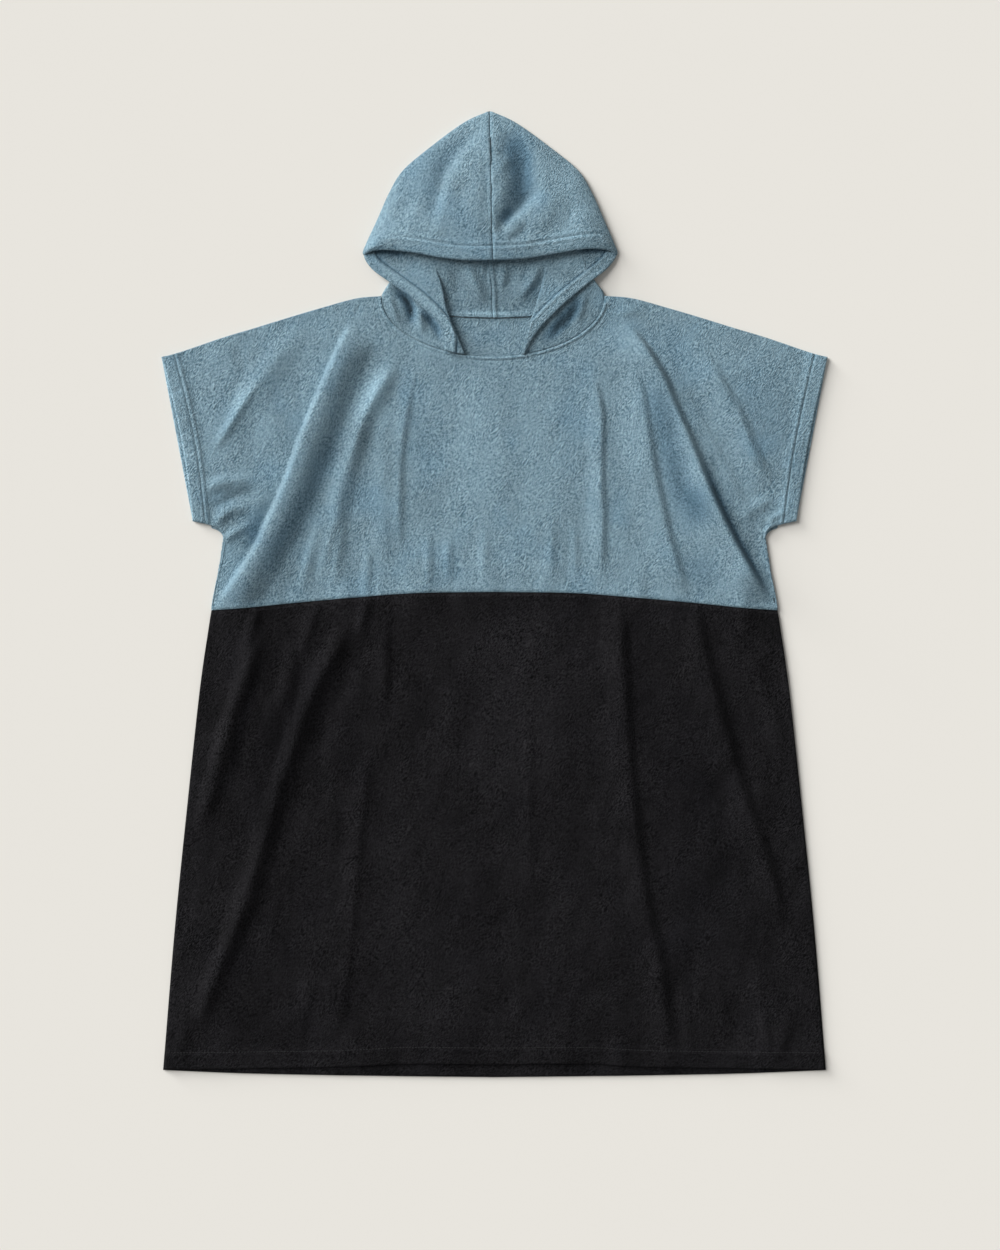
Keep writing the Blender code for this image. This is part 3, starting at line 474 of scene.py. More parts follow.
def front_height(x, y):
    """Middle of the front cloth: the height at which it lies, the air under it, the lift of the neck's seam,
    the folds, the puckers along the waist seam and the hem, and an uneven lie. Folds and puckers fade out at
    the outer edges and at the neck."""
    from_side = np.interp(y, REACH_Y, REACH_X) - np.abs(x)
    from_shoulder = np.interp(np.abs(x), SLOPE_X, SLOPE_Y) - y
    ratio = np.hypot((x - NECK_X) / NECK_HALF_WIDTH, (y - NECK_Y) / FRONT_NECK_DROP)
    from_neck = (ratio - 1) * NECK_REACH
    inward = ease(from_side / 80) * ease(from_shoulder / 60) * ease((y - HEM_Y) / 90)
    air = BODY_AIR * inward * ease(from_neck / 50)
    lift = NECK_LIFT * within(from_neck, 10, 40)
    clear = ease(from_side / EDGE_FADE) * ease(from_shoulder / EDGE_FADE) * beyond(from_neck, 6, 20)
    waist_x, waist_y = zip(*WAIST_LINE[::-1])
    from_waist = y - np.interp(np.abs(x), waist_x, waist_y)
    blue_share = ease(0.5 + from_waist / WAIST_BLEND)
    folds = all_folds(x, y, BLUE_FOLDS) * blue_share + all_folds(x, y, BLACK_FOLDS) * (1 - blue_share)
    flared = x * WAIST_HALF_WIDTH / np.maximum(np.interp(y, REACH_Y, REACH_X), WAIST_HALF_WIDTH)
    puckers = 0.55 * lattice_noise(x, y * 0.18, 9.5, 31) * fading(np.abs(from_waist), 13)
    puckers += 1.3 * lattice_noise(flared, y * 0.11, 17, 33) * fading(np.abs(from_waist), 42)
    puckers += 1.0 * lattice_noise(flared, y * 0.12, 21, 35) * ease((-490 - y) / 80)
    lie = 0.9 * crumple(x, y, 5) * (0.35 + 0.65 * inward)
    return FRONT_LAYER + air + lift + clear * (folds + puckers) + np.maximum(clear, 0.25) * lie


# ---- meshes ----
def grid_faces(rows, columns, first):
    """Corner numbers of the quads of a grid."""
    corner = (np.arange(rows - 1)[:, None] * columns + np.arange(columns - 1)[None]).ravel() + first
    return np.stack([corner, corner + 1, corner + columns + 1, corner + columns], axis=1)


def mesh_from(name, points, faces):
    """A mesh of quads or triangles from arrays of points, in millimetres, and of corner numbers."""
    mesh = bpy.data.meshes.new(name)
    mesh.vertices.add(len(points))
    mesh.vertices.foreach_set("co", (points * MM).astype(np.float32).ravel())
    corners = faces.shape[1]
    mesh.loops.add(faces.size)
    mesh.loops.foreach_set("vertex_index", faces.astype(np.int32).ravel())
    mesh.polygons.add(len(faces))
    mesh.polygons.foreach_set("loop_start", np.arange(0, faces.size, corners, dtype=np.int32))
    mesh.update(calc_edges=True)
    mesh.validate()
    mesh.shade_smooth()
    return mesh


def placed(name, mesh, finish):
    """An object at the origin for a mesh, with its finish, on the garment's one body."""
    mesh.materials.append(finish)
    piece = bpy.data.objects.new(name, mesh)
    bpy.context.scene.collection.objects.link(piece)
    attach(piece, "root")
    return piece


WELD_DISTANCE = 0.02        # where two grids meet, their points lie closer than this
WALL_LEVELS = 40            # the wall's share is kept in steps of one part in this many
THINNEST = 0.02             # share of the wall left at an edge
PLAIN_WALL = 0.5            # share that a plain wall has, which leaves the rest for thicker hems


def cloth(name, grids, wall_shares, finish, nap_and_painted_shading=None):
    """A towelling shell: grids welded where they meet and thickened both ways. The wall's shares thin it at
    its edges and thicken it at its hems."""
    points = np.vstack([grid.reshape(-1, 3) for grid in grids])
    faces, first = [], 0
    for grid in grids:
        faces.append(grid_faces(grid.shape[0], grid.shape[1], first))
        first += grid.shape[0] * grid.shape[1]
    mesh = mesh_from(name, points, np.vstack(faces))
    # Painted light and shade, with the lighter turned edges, go to the mesh as an attribute.
    nap_and_shading_values = np.zeros(len(points)) if nap_and_painted_shading is None else np.concatenate([part.ravel() for part in nap_and_painted_shading])
    mesh.attributes.new("nap_and_painted_shading", "FLOAT", "POINT").data.foreach_set("value", nap_and_shading_values.astype(np.float32))
    piece = placed(name, mesh, finish)
    group = piece.vertex_groups.new(name="wall")
    levels = np.round(np.concatenate([part.ravel() for part in wall_shares]) * WALL_LEVELS).astype(int)
    for level in np.unique(levels):
        group.add(np.nonzero(levels == level)[0].tolist(), float(level) / WALL_LEVELS, "REPLACE")
    if len(grids) > 1:
        weld = piece.modifiers.new("weld", "WELD")
        weld.merge_threshold = WELD_DISTANCE * MM
    wall = piece.modifiers.new("wall", "SOLIDIFY")
    wall.thickness = WALL / PLAIN_WALL * MM
    wall.offset = 0.0
    wall.vertex_group = group.name
    wall.thickness_vertex_group = THINNEST
    return piece


def rounded(distance, radius=EDGE_ROUND):
    """Share of the wall at a distance from a free edge: a quarter circle up to the plain wall's share."""
    inside = np.clip(distance / radius, 0, 1)
    return PLAIN_WALL * np.sqrt(np.clip(1 - (1 - inside) ** 2, 0.01, 1))


def distance_to(x, y, line):
    """Distance in plan from points to a line of points."""
    flat = np.stack([x.ravel(), y.ravel()], axis=1)
    best = np.full(len(flat), np.inf)
    for start, end in zip(line[:-1, :2], line[1:, :2]):
        way = end - start
        along = np.clip((flat - start) @ way / max(way @ way, 1e-9), 0, 1)
        off = flat - start - along[:, None] * way
        best = np.minimum(best, np.hypot(off[:, 0], off[:, 1]))
    return best.reshape(x.shape)


def edge_distances(grid):
    """Distances from a grid's first row, last row, first column and last column, along its own lines."""
    down = np.sqrt((np.diff(grid[..., :2], axis=0) ** 2).sum(axis=2))
    across = np.sqrt((np.diff(grid[..., :2], axis=1) ** 2).sum(axis=2))
    top = np.concatenate([np.zeros((1, grid.shape[1])), np.cumsum(down, axis=0)], axis=0)
    left = np.concatenate([np.zeros((grid.shape[0], 1)), np.cumsum(across, axis=1)], axis=1)
    return top, top[-1:] - top, left, left[:, -1:] - left


# ---- panels ----
FINE = (0.35, 0.8, 1.4, 2.1, 3.0, 4.2, 5.6)                      # steps beside a rounded edge or seam
FINE_BAND = FINE + tuple(np.arange(6.8, 29.5, 1.3))              # and through a stitched hem
YOKE_LENGTH, SKIRT_LENGTH, SKIRT_BACK_LENGTH = 300.0, 600.0, 610.0      # about each panel's, for its rows
YOKE_ROWS, YOKE_BACK_ROWS, SKIRT_ROWS, SKIRT_BACK_ROWS = 104, 40, 166, 70       # even steps down each panel
NECK_STEPS, NECK_BACK_STEPS, SKIRT_COLUMNS, SKIRT_BACK_COLUMNS = 132, 60, 104, 40       # and across it
FRONT_STEP, BACK_STEP, UNDERARM_STEP = 2.9, 7.0, 1.6            # between the yokes' columns
SIDE_LENGTH = 88.0          # from the underarm to the waist seam
CUFF_COLUMNS = 70           # the cuff's bow fades out over this many columns


def ruled(top, bottom, rows):
    """Grid in plan between two boundaries with the same number of points, at the given shares of the way."""
    return (1 - rows)[:, None, None] * top[None] + rows[:, None, None] * bottom[None]


def with_height(plan, z):
    """Adds heights, or one height, to points in plan."""
    return np.concatenate([plan, np.broadcast_to(z, plan.shape[:-1])[..., None]], axis=-1)


def length_of(points):
    """Length of the smooth stretch through the points."""
    return run_length(smooth_rows(points, np.linspace(0, len(points) - 1, 400)))[-1]


def neck_line(steps, drop):
    """The neck's ellipse from the left shoulder to the right one, in even steps of its angle."""
    return neck_curve(np.cos(np.linspace(math.pi, 0, steps + 1)), drop, 0.0)


def yoke_plan(neck, step, row_shares):
    """Plan of a blue upper panel with cut-on sleeves, ruled straight from its top line (shoulder, neck and
    shoulder) to its bottom line (underarm, side, waist, side, underarm). Columns close up at the cuffs."""
    length = length_of(SHOULDER_LINE)
    count = int((length - FINE_BAND[-1]) / step)
    shoulder = stretch(SHOULDER_LINE, shares(length, count, (), FINE_BAND))
    left_top, right_top = shoulder[::-1] * (-1, 1), shoulder.copy()
    left_top[-1], right_top[0] = neck[0], neck[-1]
    top = chain(left_top, neck, right_top)
    length = length_of(UNDERARM_LINE)
    count = int((length - FINE_BAND[-1]) / UNDERARM_STEP)
    underarm = stretch(UNDERARM_LINE, shares(length, count, FINE_BAND))
    side = chain(underarm, stretch(SIDE_LINE, np.linspace(0, 1, int(SIDE_LENGTH / step) + 1)))
    waist_count = (len(top) - 1 - 2 * (len(side) - 1)) // 2
    waist = stretch(WAIST_LINE, np.linspace(0, 1, waist_count + 1))
    if (len(top) - 1) % 2:
        raise ValueError("the neck needs an even number of steps")
    bottom = chain(side * (-1, 1), waist * (-1, 1), waist[::-1], side[::-1])
    return ruled(top, bottom, row_shares)


def skirt_plan(hem_line, steps, row_shares):
    """Plan of a black lower panel, ruled straight between the waist seam and the hem, then bowed out to the
    side line by an amount that grows with the cube of the distance from the middle."""
    columns = shares(length_of(WAIST_LINE), steps, FINE)
    waist, hem = (stretch(line, columns) for line in (WAIST_LINE, hem_line))
    top = chain(waist * (-1, 1), waist[::-1])
    bottom = chain(hem * (-1, 1), hem[::-1])
    plan = ruled(top, bottom, row_shares)
    side = stretch(SKIRT_SIDE_LINE, row_shares)
    straight = side[:1] + (side[-1:] - side[:1]) * row_shares[:, None]
    bow = (side - straight)[:, 0]
    across = plan[..., 0] / np.abs(plan[:, :1, 0])
    plan[..., 0] += bow[:, None] * across ** 3
    return plan


def turned_hem(distance, width):
    """How far a turned hem stands up at a distance from its edge: a plateau that ends in a soft step."""
    return HEM_RAISE * within(distance, width - 1.2, 3.0)


def cuff_profile(distance, y):
    """Height of the sleeve's hem: its plateau, two sunk rows of stitches and the swell between them."""
    height = turned_hem(distance, CUFF_WIDTH)
    for row in CUFF_ROWS:
        height = height + stitch_groove(distance, row, 0.9)
    swell = 0.35 * ridge_at(distance, 9, 5.0) * (1 + 0.6 * lattice_noise(y, distance, 16, 77))
    return height + swell


def hem_profile(distance, x):
    """Height of the skirt's hem: its plateau, the stitches along its top and small pulls along them."""
    pull = 0.35 * lattice_noise(x, distance * 0.4, 14, 91) * ridge_at(distance, HEM_WIDTH, 7.0)
    return turned_hem(distance, HEM_WIDTH + 1) + stitch_groove(distance, HEM_STITCH_ROW, 0.9, 1.7) + pull


def upper_front_piece(finish):
    """Blue upper front: the yoke's plan with its cuffs bowed inwards by a half sine, at the front cloth's
    height plus the pile, the cuffs' hems, the neck seam's two ridges and groove, and a swell at the waist."""
    neck = neck_line(NECK_STEPS, FRONT_NECK_DROP)
    rows = shares(YOKE_LENGTH, YOKE_ROWS, FINE, FINE)
    plan = yoke_plan(neck, FRONT_STEP, rows)
    bow = np.sin(math.pi * rows)[:, None] * ease(np.linspace(1.2, 0, CUFF_COLUMNS))[None]
    plan[:, :CUFF_COLUMNS, 0] += CUFF_PEEK[0] * bow
    plan[:, -CUFF_COLUMNS:, 0] -= CUFF_PEEK[1] * bow[:, ::-1]
    top, bottom, left, right = edge_distances(plan)
    x, y = plan[..., 0], plan[..., 1]
    cuff = np.minimum(left, right)
    from_neck = distance_to(x, y, neck)
    sewn_neck = (1.2 + 0.5 * ease((x + 60) / 80)) * ridge_at(from_neck, 2.0, 1.8)
    sewn_neck += 0.9 * ridge_at(from_neck, 7.0, 1.5) - 0.6 * ridge_at(from_neck, 4.6, 1.3)
    height = front_height(x, y) + pile(x, y, 11) + cuff_profile(cuff, y)
    height += sewn_neck * ease((150 - np.abs(x)) / 6) + 0.5 * ridge_at(bottom, 4.5, 3.5)
    wall = np.minimum(rounded(top, radius=1.0), rounded(bottom, radius=SEAM_ROUND))
    wall = np.minimum(wall, rounded(cuff)) * (1 + PANEL_HEM_WALL * within(cuff, CUFF_WIDTH, 3.0))
    # Painted light and shade from the table, lighter cuff edges and a painted highlight along the neck seam's
    # ridge.
    nap_and_painted_shading = all_folds(x, y, BLUE_PAINTED_SHADING) + EDGE_LIGHT * fading(cuff, 1.8) + 0.35 * ridge_at(from_neck, 3, 3)
    grid = with_height(plan, height)
    piece = cloth("upper_front_cloth", [grid], [wall], finish, [nap_and_painted_shading])
    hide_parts("upper_front")
    return grid


def lower_front_piece(finish):
    """Black lower front: the skirt's plan at the front cloth's height plus the pile, the turned hem and the
    grooves of the stitches beside the waist seam and the side seams."""
    rows = shares(SKIRT_LENGTH, SKIRT_ROWS, FINE, FINE_BAND)
    plan = skirt_plan(HEM_LINE, SKIRT_COLUMNS, rows)
    top, bottom, left, right = edge_distances(plan)
    x, y = plan[..., 0], plan[..., 1]
    side = np.minimum(left, right)
    height = front_height(x, y) + pile(x, y, 12)
    height += hem_profile(bottom, x) + stitch_groove(top, WAIST_TOPSTITCH, 0.5, 1.3)
    height += stitch_groove(side, SIDE_TOPSTITCH, 0.8, 1.4) - 0.6 * fading(top, 4.0)
    wall = np.minimum(rounded(side), rounded(top, radius=SEAM_ROUND))
    wall = np.minimum(wall, rounded(bottom)) * (1 + PANEL_HEM_WALL * within(bottom, HEM_WIDTH, 3.0))
    # Painted light and shade from the table, a lighter band beside the waist seam and painted shade in the
    # topstitching.
    nap_and_painted_shading = all_folds(x, y, BLACK_PAINTED_SHADING) + 1.4 * ridge_at(top, 4.0, 1.8) - ridge_at(top, WAIST_TOPSTITCH + 1, 1.5)
    grid = with_height(plan, height)
    piece = cloth("lower_front_cloth", [grid], [wall], finish, [nap_and_painted_shading])
    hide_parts("lower_front")
    return grid


def upper_back_piece(finish):
    """Blue upper back, on the ground: the yoke's plan with a shallower neck and a lower waist seam, at the
    lying height plus the cuffs' hems and the pile. Its cuffs show a little past the front ones."""
    neck = neck_line(NECK_BACK_STEPS, BACK_NECK_DROP)
    rows = shares(YOKE_LENGTH, YOKE_BACK_ROWS, FINE, FINE)
    plan = yoke_plan(neck, BACK_STEP, rows)
    top, bottom, left, right = edge_distances(plan)
    x, y = plan[..., 0], plan[..., 1]
    plan[..., 1] -= BACK_SEAM_SHIFT * fading(bottom, 30) * (np.abs(x) < WAIST_HALF_WIDTH)
    cuff = np.minimum(left, right)
    height = FLOOR_LAYER + 0.4 * turned_hem(cuff, CUFF_WIDTH) * beyond(y, 90, 10) + 0.3 * pile(x, y, 13)
    wall = np.minimum(np.minimum(rounded(top), rounded(bottom)), rounded(cuff))
    piece = cloth("upper_back_cloth", [with_height(plan, height)], [wall], finish,
                  [EDGE_LIGHT * fading(cuff, 1.8)])
    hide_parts("upper_back")


def lower_back_piece(finish):
    """Black lower back, on the ground: the skirt's plan with its own hem line and a lower waist seam, at the
    lying height plus the turned hem and the pile. Its hem and sides show a little outside the front."""
    rows = shares(SKIRT_BACK_LENGTH, SKIRT_BACK_ROWS, FINE, FINE_BAND)
    plan = skirt_plan(BACK_HEM_LINE, SKIRT_BACK_COLUMNS, rows)
    top, bottom, left, right = edge_distances(plan)
    plan[..., 1] -= BACK_SEAM_SHIFT * fading(top, 30)
    x, y = plan[..., 0], plan[..., 1]
    side = np.minimum(left, right)
    height = FLOOR_LAYER + 0.5 * turned_hem(bottom, HEM_WIDTH) + 0.3 * pile(x, y, 14)
    height += 0.25 * lattice_noise(x, y, 21, 15) * within(bottom, 20, 12)
    wall = np.minimum(np.minimum(rounded(side), rounded(top)), rounded(bottom))
    wall *= 1 + BACK_HEM_WALL * within(bottom, HEM_WIDTH, 3.0)
    piece = cloth("lower_back_cloth", [with_height(plan, height)], [wall], finish)
    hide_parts("lower_back")


# ---- hood ----
ROWS_PER_SECTION = 11
FACE_ROWS = BRIM_ROW * ROWS_PER_SECTION          # rows up to the brim's corner
# Steps of the grid in each span of a section, from the face edge and from the hood's outer edge.
LOWER_STEPS = (24, 12, 8, 5, 5, 5, 5, 12, 14, 8, 5, 5, 5, 16, 20, 18)
TOP_STEPS = (10, 12, 18, 40)
NECK_FADE = 2.4             # the hood's shape follows the neck's ellipses over this many sections
# The section from which the face edge turns over into the top, the folds' round edges close up towards the
# crown and the inside lifts to the crown's seam, and over how many sections each does so.
EDGE_TURNS, CROWN_CLOSES, CROWN_LIFTS = (3.2, 2.6), (9.6, 1.4), (11.0, 1.0)
# Places along a section, counted in its control points from the face edge, and the zones between them: where
# each begins, is full, begins to end and ends.
FACE_END, LAPEL_FOLD, SIDE_FOLD, BACK_START = 4.5, 5.5, 11.5, 12.5
LAPEL_ZONE = (-1.0, -0.5, 3.6, 4.8)
SIDE_ZONE = (7.0, 8.0, 9.6, 10.6)
BACK_ZONE = (13.2, 14.2, 18.5, 19.5)


def soft_curve(controls, steps):
    """Quadratic B-spline along axis 1 of controls, and which control each of its samples is near."""
    first = 2 * controls[:, :1] - controls[:, 1:2]
    last = 2 * controls[:, -1:] - controls[:, -2:-1]
    controls = np.concatenate([first, controls[:, 1:-1], last], axis=1)
    samples, places = [], []
    for span, count in enumerate(steps):
        for t in np.arange(count) / count:
            samples.append(0.5 * (1 - t) ** 2 * controls[:, span] + (0.5 + t - t * t) * controls[:, span + 1]
                           + 0.5 * t * t * controls[:, span + 2])
            places.append(span + 0.5 + t)
    samples.append(0.5 * (controls[:, -2] + controls[:, -1]))
    places.append(len(steps) + 0.5)
    return np.stack(samples, axis=1), np.array(places)


def toward(start, end, distance):
    """Points that lie `distance` from start on the way to end, for arrays of points in plan."""
    way = end - start
    length = np.maximum(np.hypot(way[:, 0], way[:, 1]), 1e-6)
    return start + way / length[:, None] * distance[:, None]


def hood_controls(rows, number):
    """Control points of every section: face edge, lapel fold, side fold and centre seam."""
    c = {name: rows[:, k] for k, name in enumerate(HOOD_COLUMNS)}
    edge, lapel, side, seam = (np.stack([c[n + "_x"], c[n + "_y"]], axis=1)
                               for n in ("edge", "lapel", "side", "seam"))
    width = np.hypot(*(lapel - edge).T)
    closing = 1 - 0.7 * beyond(number, *CROWN_CLOSES)
    lapel_radius = np.maximum((c["lapel_z"] - c["lapel_low_z"]) / 2, 2.0) * closing
    side_radius = np.maximum((c["side_z"] - FLOOR_LAYER) / 2, 2.0) * closing
    inset = np.minimum(7.0, 0.2 * width) * within(number, *EDGE_TURNS)
    low = FLOOR_LAYER + (c["under_z"] - FLOOR_LAYER) * beyond(number, *CROWN_LIFTS)
    mid_z = (c["under_z"] + c["lapel_z"]) / 2
    points = [
        with_height(edge, c["edge_z"]),
        with_height(toward(edge, lapel, inset), c["under_z"]),
        with_height(edge + (lapel - edge) * 0.40, mid_z),
        with_height(edge + (lapel - edge) * 0.70, c["lapel_z"]),
        with_height(toward(lapel, edge, lapel_radius), c["lapel_z"]),
        with_height(lapel, c["lapel_z"]),
        with_height(lapel, c["lapel_low_z"]),
        with_height(toward(lapel, side, lapel_radius), c["lapel_low_z"]),
        with_height(lapel + (side - lapel) / 3, (2 * c["lapel_low_z"] + c["side_z"]) / 3),
        with_height(lapel + (side - lapel) * 2 / 3, (c["lapel_low_z"] + 2 * c["side_z"]) / 3),
        with_height(toward(side, lapel, side_radius), c["side_z"]),
        with_height(side, c["side_z"]),
        with_height(side, low),
        with_height(toward(side, seam, side_radius), low),
        with_height(side + (seam - side) / 3, low),
        with_height(side + (seam - side) * 2 / 3, low),
        with_height(side + (seam - side) * 0.93, low),
        with_height(seam, low)]
    return np.stack(points, axis=1)


def fit_to_neck(grid, places):
    """Moves the neck row onto the neck's ellipses: the front one up to the side fold, then the back one."""
    side_column = int(np.argmin(np.abs(places - SIDE_FOLD)))
    cosines = np.clip((grid[0, :, 0] - NECK_X) / NECK_HALF_WIDTH, -1, 1)
    cosines[side_column] = np.sign(cosines[side_column])
    inside = 0.4 + WALL / 2 * within(np.abs(places - SIDE_FOLD), 0, 2)
    inside += 0.5 * within(np.abs(places - LAPEL_FOLD), 0, 2)
    front = neck_curve(cosines, FRONT_NECK_DROP, -inside)
    back = neck_curve(cosines, BACK_NECK_DROP, -inside)
    after_fold = (places > SIDE_FOLD)[:, None]
    move = np.where(after_fold, back, front) - grid[0, :, :2]
    fade = (1 - np.clip(np.linspace(0, len(LEFT_HOOD) - 1, len(grid)) / NECK_FADE, 0, 1)) ** 2
    grid[..., :2] += fade[:, None, None] * move[None]
    return grid


def zone(places, start, full, end_full, end):
    """Mask along a section: rises between two places and falls between two others."""
    return ease((places - start) / (full - start)) * ease((end - places) / (end - end_full))


def hood_lower(rows, number, side_sign):
    """Face edge, turned-out lapel, side of the neck and inside of the back: a grid with a row for each
    section. To the section's height come the face edge's hem, groove and rounding, and in each zone its
    folds, noise and pile. The back also has the band along the neck, the centre seam's turnings and the air
    under it. Returns the grid, its wall and its painted light and shade."""
    grid, places = soft_curve(hood_controls(rows, number), LOWER_STEPS)
    grid = fit_to_neck(grid, places)
    row, column = number[:, None], places[None, :]
    x, y = grid[..., 0], grid[..., 1]
    from_edge = distance_to(x, y, grid[:FACE_ROWS + 1, 0])
    from_neck = distance_to(x, y, grid[0, places > BACK_START])
    from_seam = distance_to(x, y, grid[:, -1])
    lapel_zone, side_zone, back_zone = (zone(column, *ends) for ends in (LAPEL_ZONE, SIDE_ZONE, BACK_ZONE))
    open_face = within(row, BRIM_ROW + 0.1, 0.5)
    face = open_face * (column < FACE_END)
    seen = within(row, 5.5, 1.0)
    neck_fade = ease(row / 0.35)
    hem = 1.7 * turned_hem(from_edge, FACE_HEM_WIDTH) + stitch_groove(from_edge, FACE_STITCH_ROW, 2.0, 1.6)
    hem -= 1.6 * fading(from_edge, 3.5)
    lapel = crumple(x, y, 41) + pile(x, y, 42)
    side = side_folds(x, y, HOOD_SIDE_FOLDS, side_sign) + 0.6 * crumple(x, y, 43) + pile(x, y, 44)
    back = side_folds(x, y, HOOD_BACK_FOLDS, side_sign) + 0.8 * np.maximum(crumple(x, y, 45), -0.4)
    back = neck_fade * (back + pile(x, y, 46))
    # The centre seam's turnings lie to the right.
    back += 1.8 * np.exp(-((from_seam - 3.0) / 2.2) ** 4) if side_sign > 0 else 0.6 * fading(from_seam, 4)
    back += BACK_AIR * beyond(from_neck, 8, 20) + BRIM_AIR * beyond(from_neck, 20, 50)
    neck_band = 1.7 * within(from_neck, 5.0, 2.2)
    grid[..., 2] += face * hem + seen * (lapel_zone * lapel + side_zone * neck_fade * side + back_zone * back)
    grid[..., 2] += back_zone * neck_band
    edge_wall = np.where(column < FACE_END, rounded(from_edge) + PLAIN_WALL * (1 - open_face), PLAIN_WALL)
    wall = np.minimum(np.minimum(edge_wall, PLAIN_WALL), rounded(from_seam))
    at_hem = open_face * (column < LAPEL_FOLD - 0.5)
    wall *= 1 + HOOD_HEM_WALL * at_hem * within(from_edge, FACE_HEM_WIDTH, 2.5)
    # Painted light and shade from the table where the cloth shows, and painted shade along the face hem's
    # stitching.
    on_show = (column < FACE_END) | (side_zone > 0) | (back_zone > 0)
    nap_and_painted_shading = all_folds(x, y, HOOD_LOWER_PAINTED_SHADING) * on_show - 1.6 * face * ridge_at(from_edge, FACE_STITCH_ROW, 1.4)
    return grid, wall, nap_and_painted_shading


def hood_top(rows, brim, side_sign):
    """The top of the hood: a grid with a row for each section, which rises from the soft outer edge over a
    low dome to the brim. Clear of the outer edge come the brim's hem, the folds, short pulls beside the
    centre seam, the seam's groove and low ridge, noise and pile. Returns the grid, its wall and its painted
    light and shade."""
    along = np.linspace(0, len(brim) - 1, len(rows))
    brim_rows = smooth_rows(brim, along)
    edge, edge_z, brim_xy, brim_z = rows[:, :2], rows[:, FIRST_HEIGHT], brim_rows[:, :2], brim_rows[:, 2]
    opened = ease(along)
    grid, _ = soft_curve(np.stack([
        with_height(edge, edge_z),
        with_height(edge, edge_z + HOOD_ROLL * opened),
        with_height(edge + (brim_xy - edge) * 0.25, edge_z + (brim_z - edge_z) * 0.66),
        with_height(edge + (brim_xy - edge) * 0.60, brim_z + HOOD_DOME * opened),
        with_height(edge + (brim_xy - edge) * 0.90, brim_z),
        with_height(brim_xy, brim_z)], axis=1), TOP_STEPS)
    x, y = grid[..., 0], grid[..., 1]
    from_brim = distance_to(x, y, grid[:, -1])
    from_centre = distance_to(x, y, grid[-1])
    clear = ease(edge_distances(grid)[2] / 16)
    past_hem = beyond(from_brim, BRIM_HEM_WIDTH, 3)
    hem = turned_hem(from_brim, BRIM_HEM_WIDTH + 1) + stitch_groove(from_brim, BRIM_HEM_WIDTH, 1.4, 1.6)
    hem += 0.5 * ridge_at(from_brim, BRIM_HEM_WIDTH + 4, 2.2) - 1.6 * fading(from_brim, 2.5)
    seam = (0.25 - 0.15 * side_sign) * ridge_at(from_centre, 6.5, 4.0)
    seam -= (0.35 + 0.45 * lattice_noise(0 * x, y, 22, 54)) * fading(from_centre, 2.4)
    pulls = 1.3 * lattice_noise(x * 0.3 - 0.5 * y * side_sign, y, 12, 51) * fading(from_centre, 11)
    folds = beyond(from_brim, 8, 14) * (side_folds(x, y, HOOD_TOP_FOLDS, side_sign) + pulls)
    lie = 1.3 * crumple(x, y, 52) + pile(x, y, 53)
    grid[..., 2] += clear * (hem + folds + seam * (0.35 + 0.65 * past_hem) + lie)
    wall = np.minimum(rounded(from_brim), rounded(from_centre, radius=0.5))
    wall *= 1 + HOOD_HEM_WALL * within(from_brim, BRIM_HEM_WIDTH, 2.5) * clear
    return grid, wall, side_folds(x, y, HOOD_TOP_PAINTED_SHADING, side_sign)


def hood_piece(name, table, brim, side_sign, node, finish):
    """A hood half, the left one with a side_sign of -1 and the right one with 1: its lower grid, and its top,
    welded to it along the hood's outer edge."""
    number = np.linspace(0, len(table) - 1, (len(table) - 1) * ROWS_PER_SECTION + 1)
    rows = smooth_rows(table, number)
    rows[:, FIRST_HEIGHT:] = np.maximum(rows[:, FIRST_HEIGHT:], FLOOR_LAYER)
    lower = hood_lower(rows, number, side_sign)
    top = hood_top(rows[FACE_ROWS:], brim, side_sign)
    grids, walls, naps_and_painted_shading = ([below, above[:, ::-1]] for below, above in zip(lower, top))
    piece = cloth(name, grids, walls, finish, naps_and_painted_shading)
    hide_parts(node)
    return lower[0], top[0]


# ---- stitches ----
STITCH, STITCH_GAP, STITCH_RADIUS = 3.0, 0.9, 0.42
STITCH_RINGS = ((0.0, 0.25), (0.12, 0.8), (0.5, 1.0), (0.88, 0.8), (1.0, 0.25))    # place along, width
STITCH_SIDES = 6


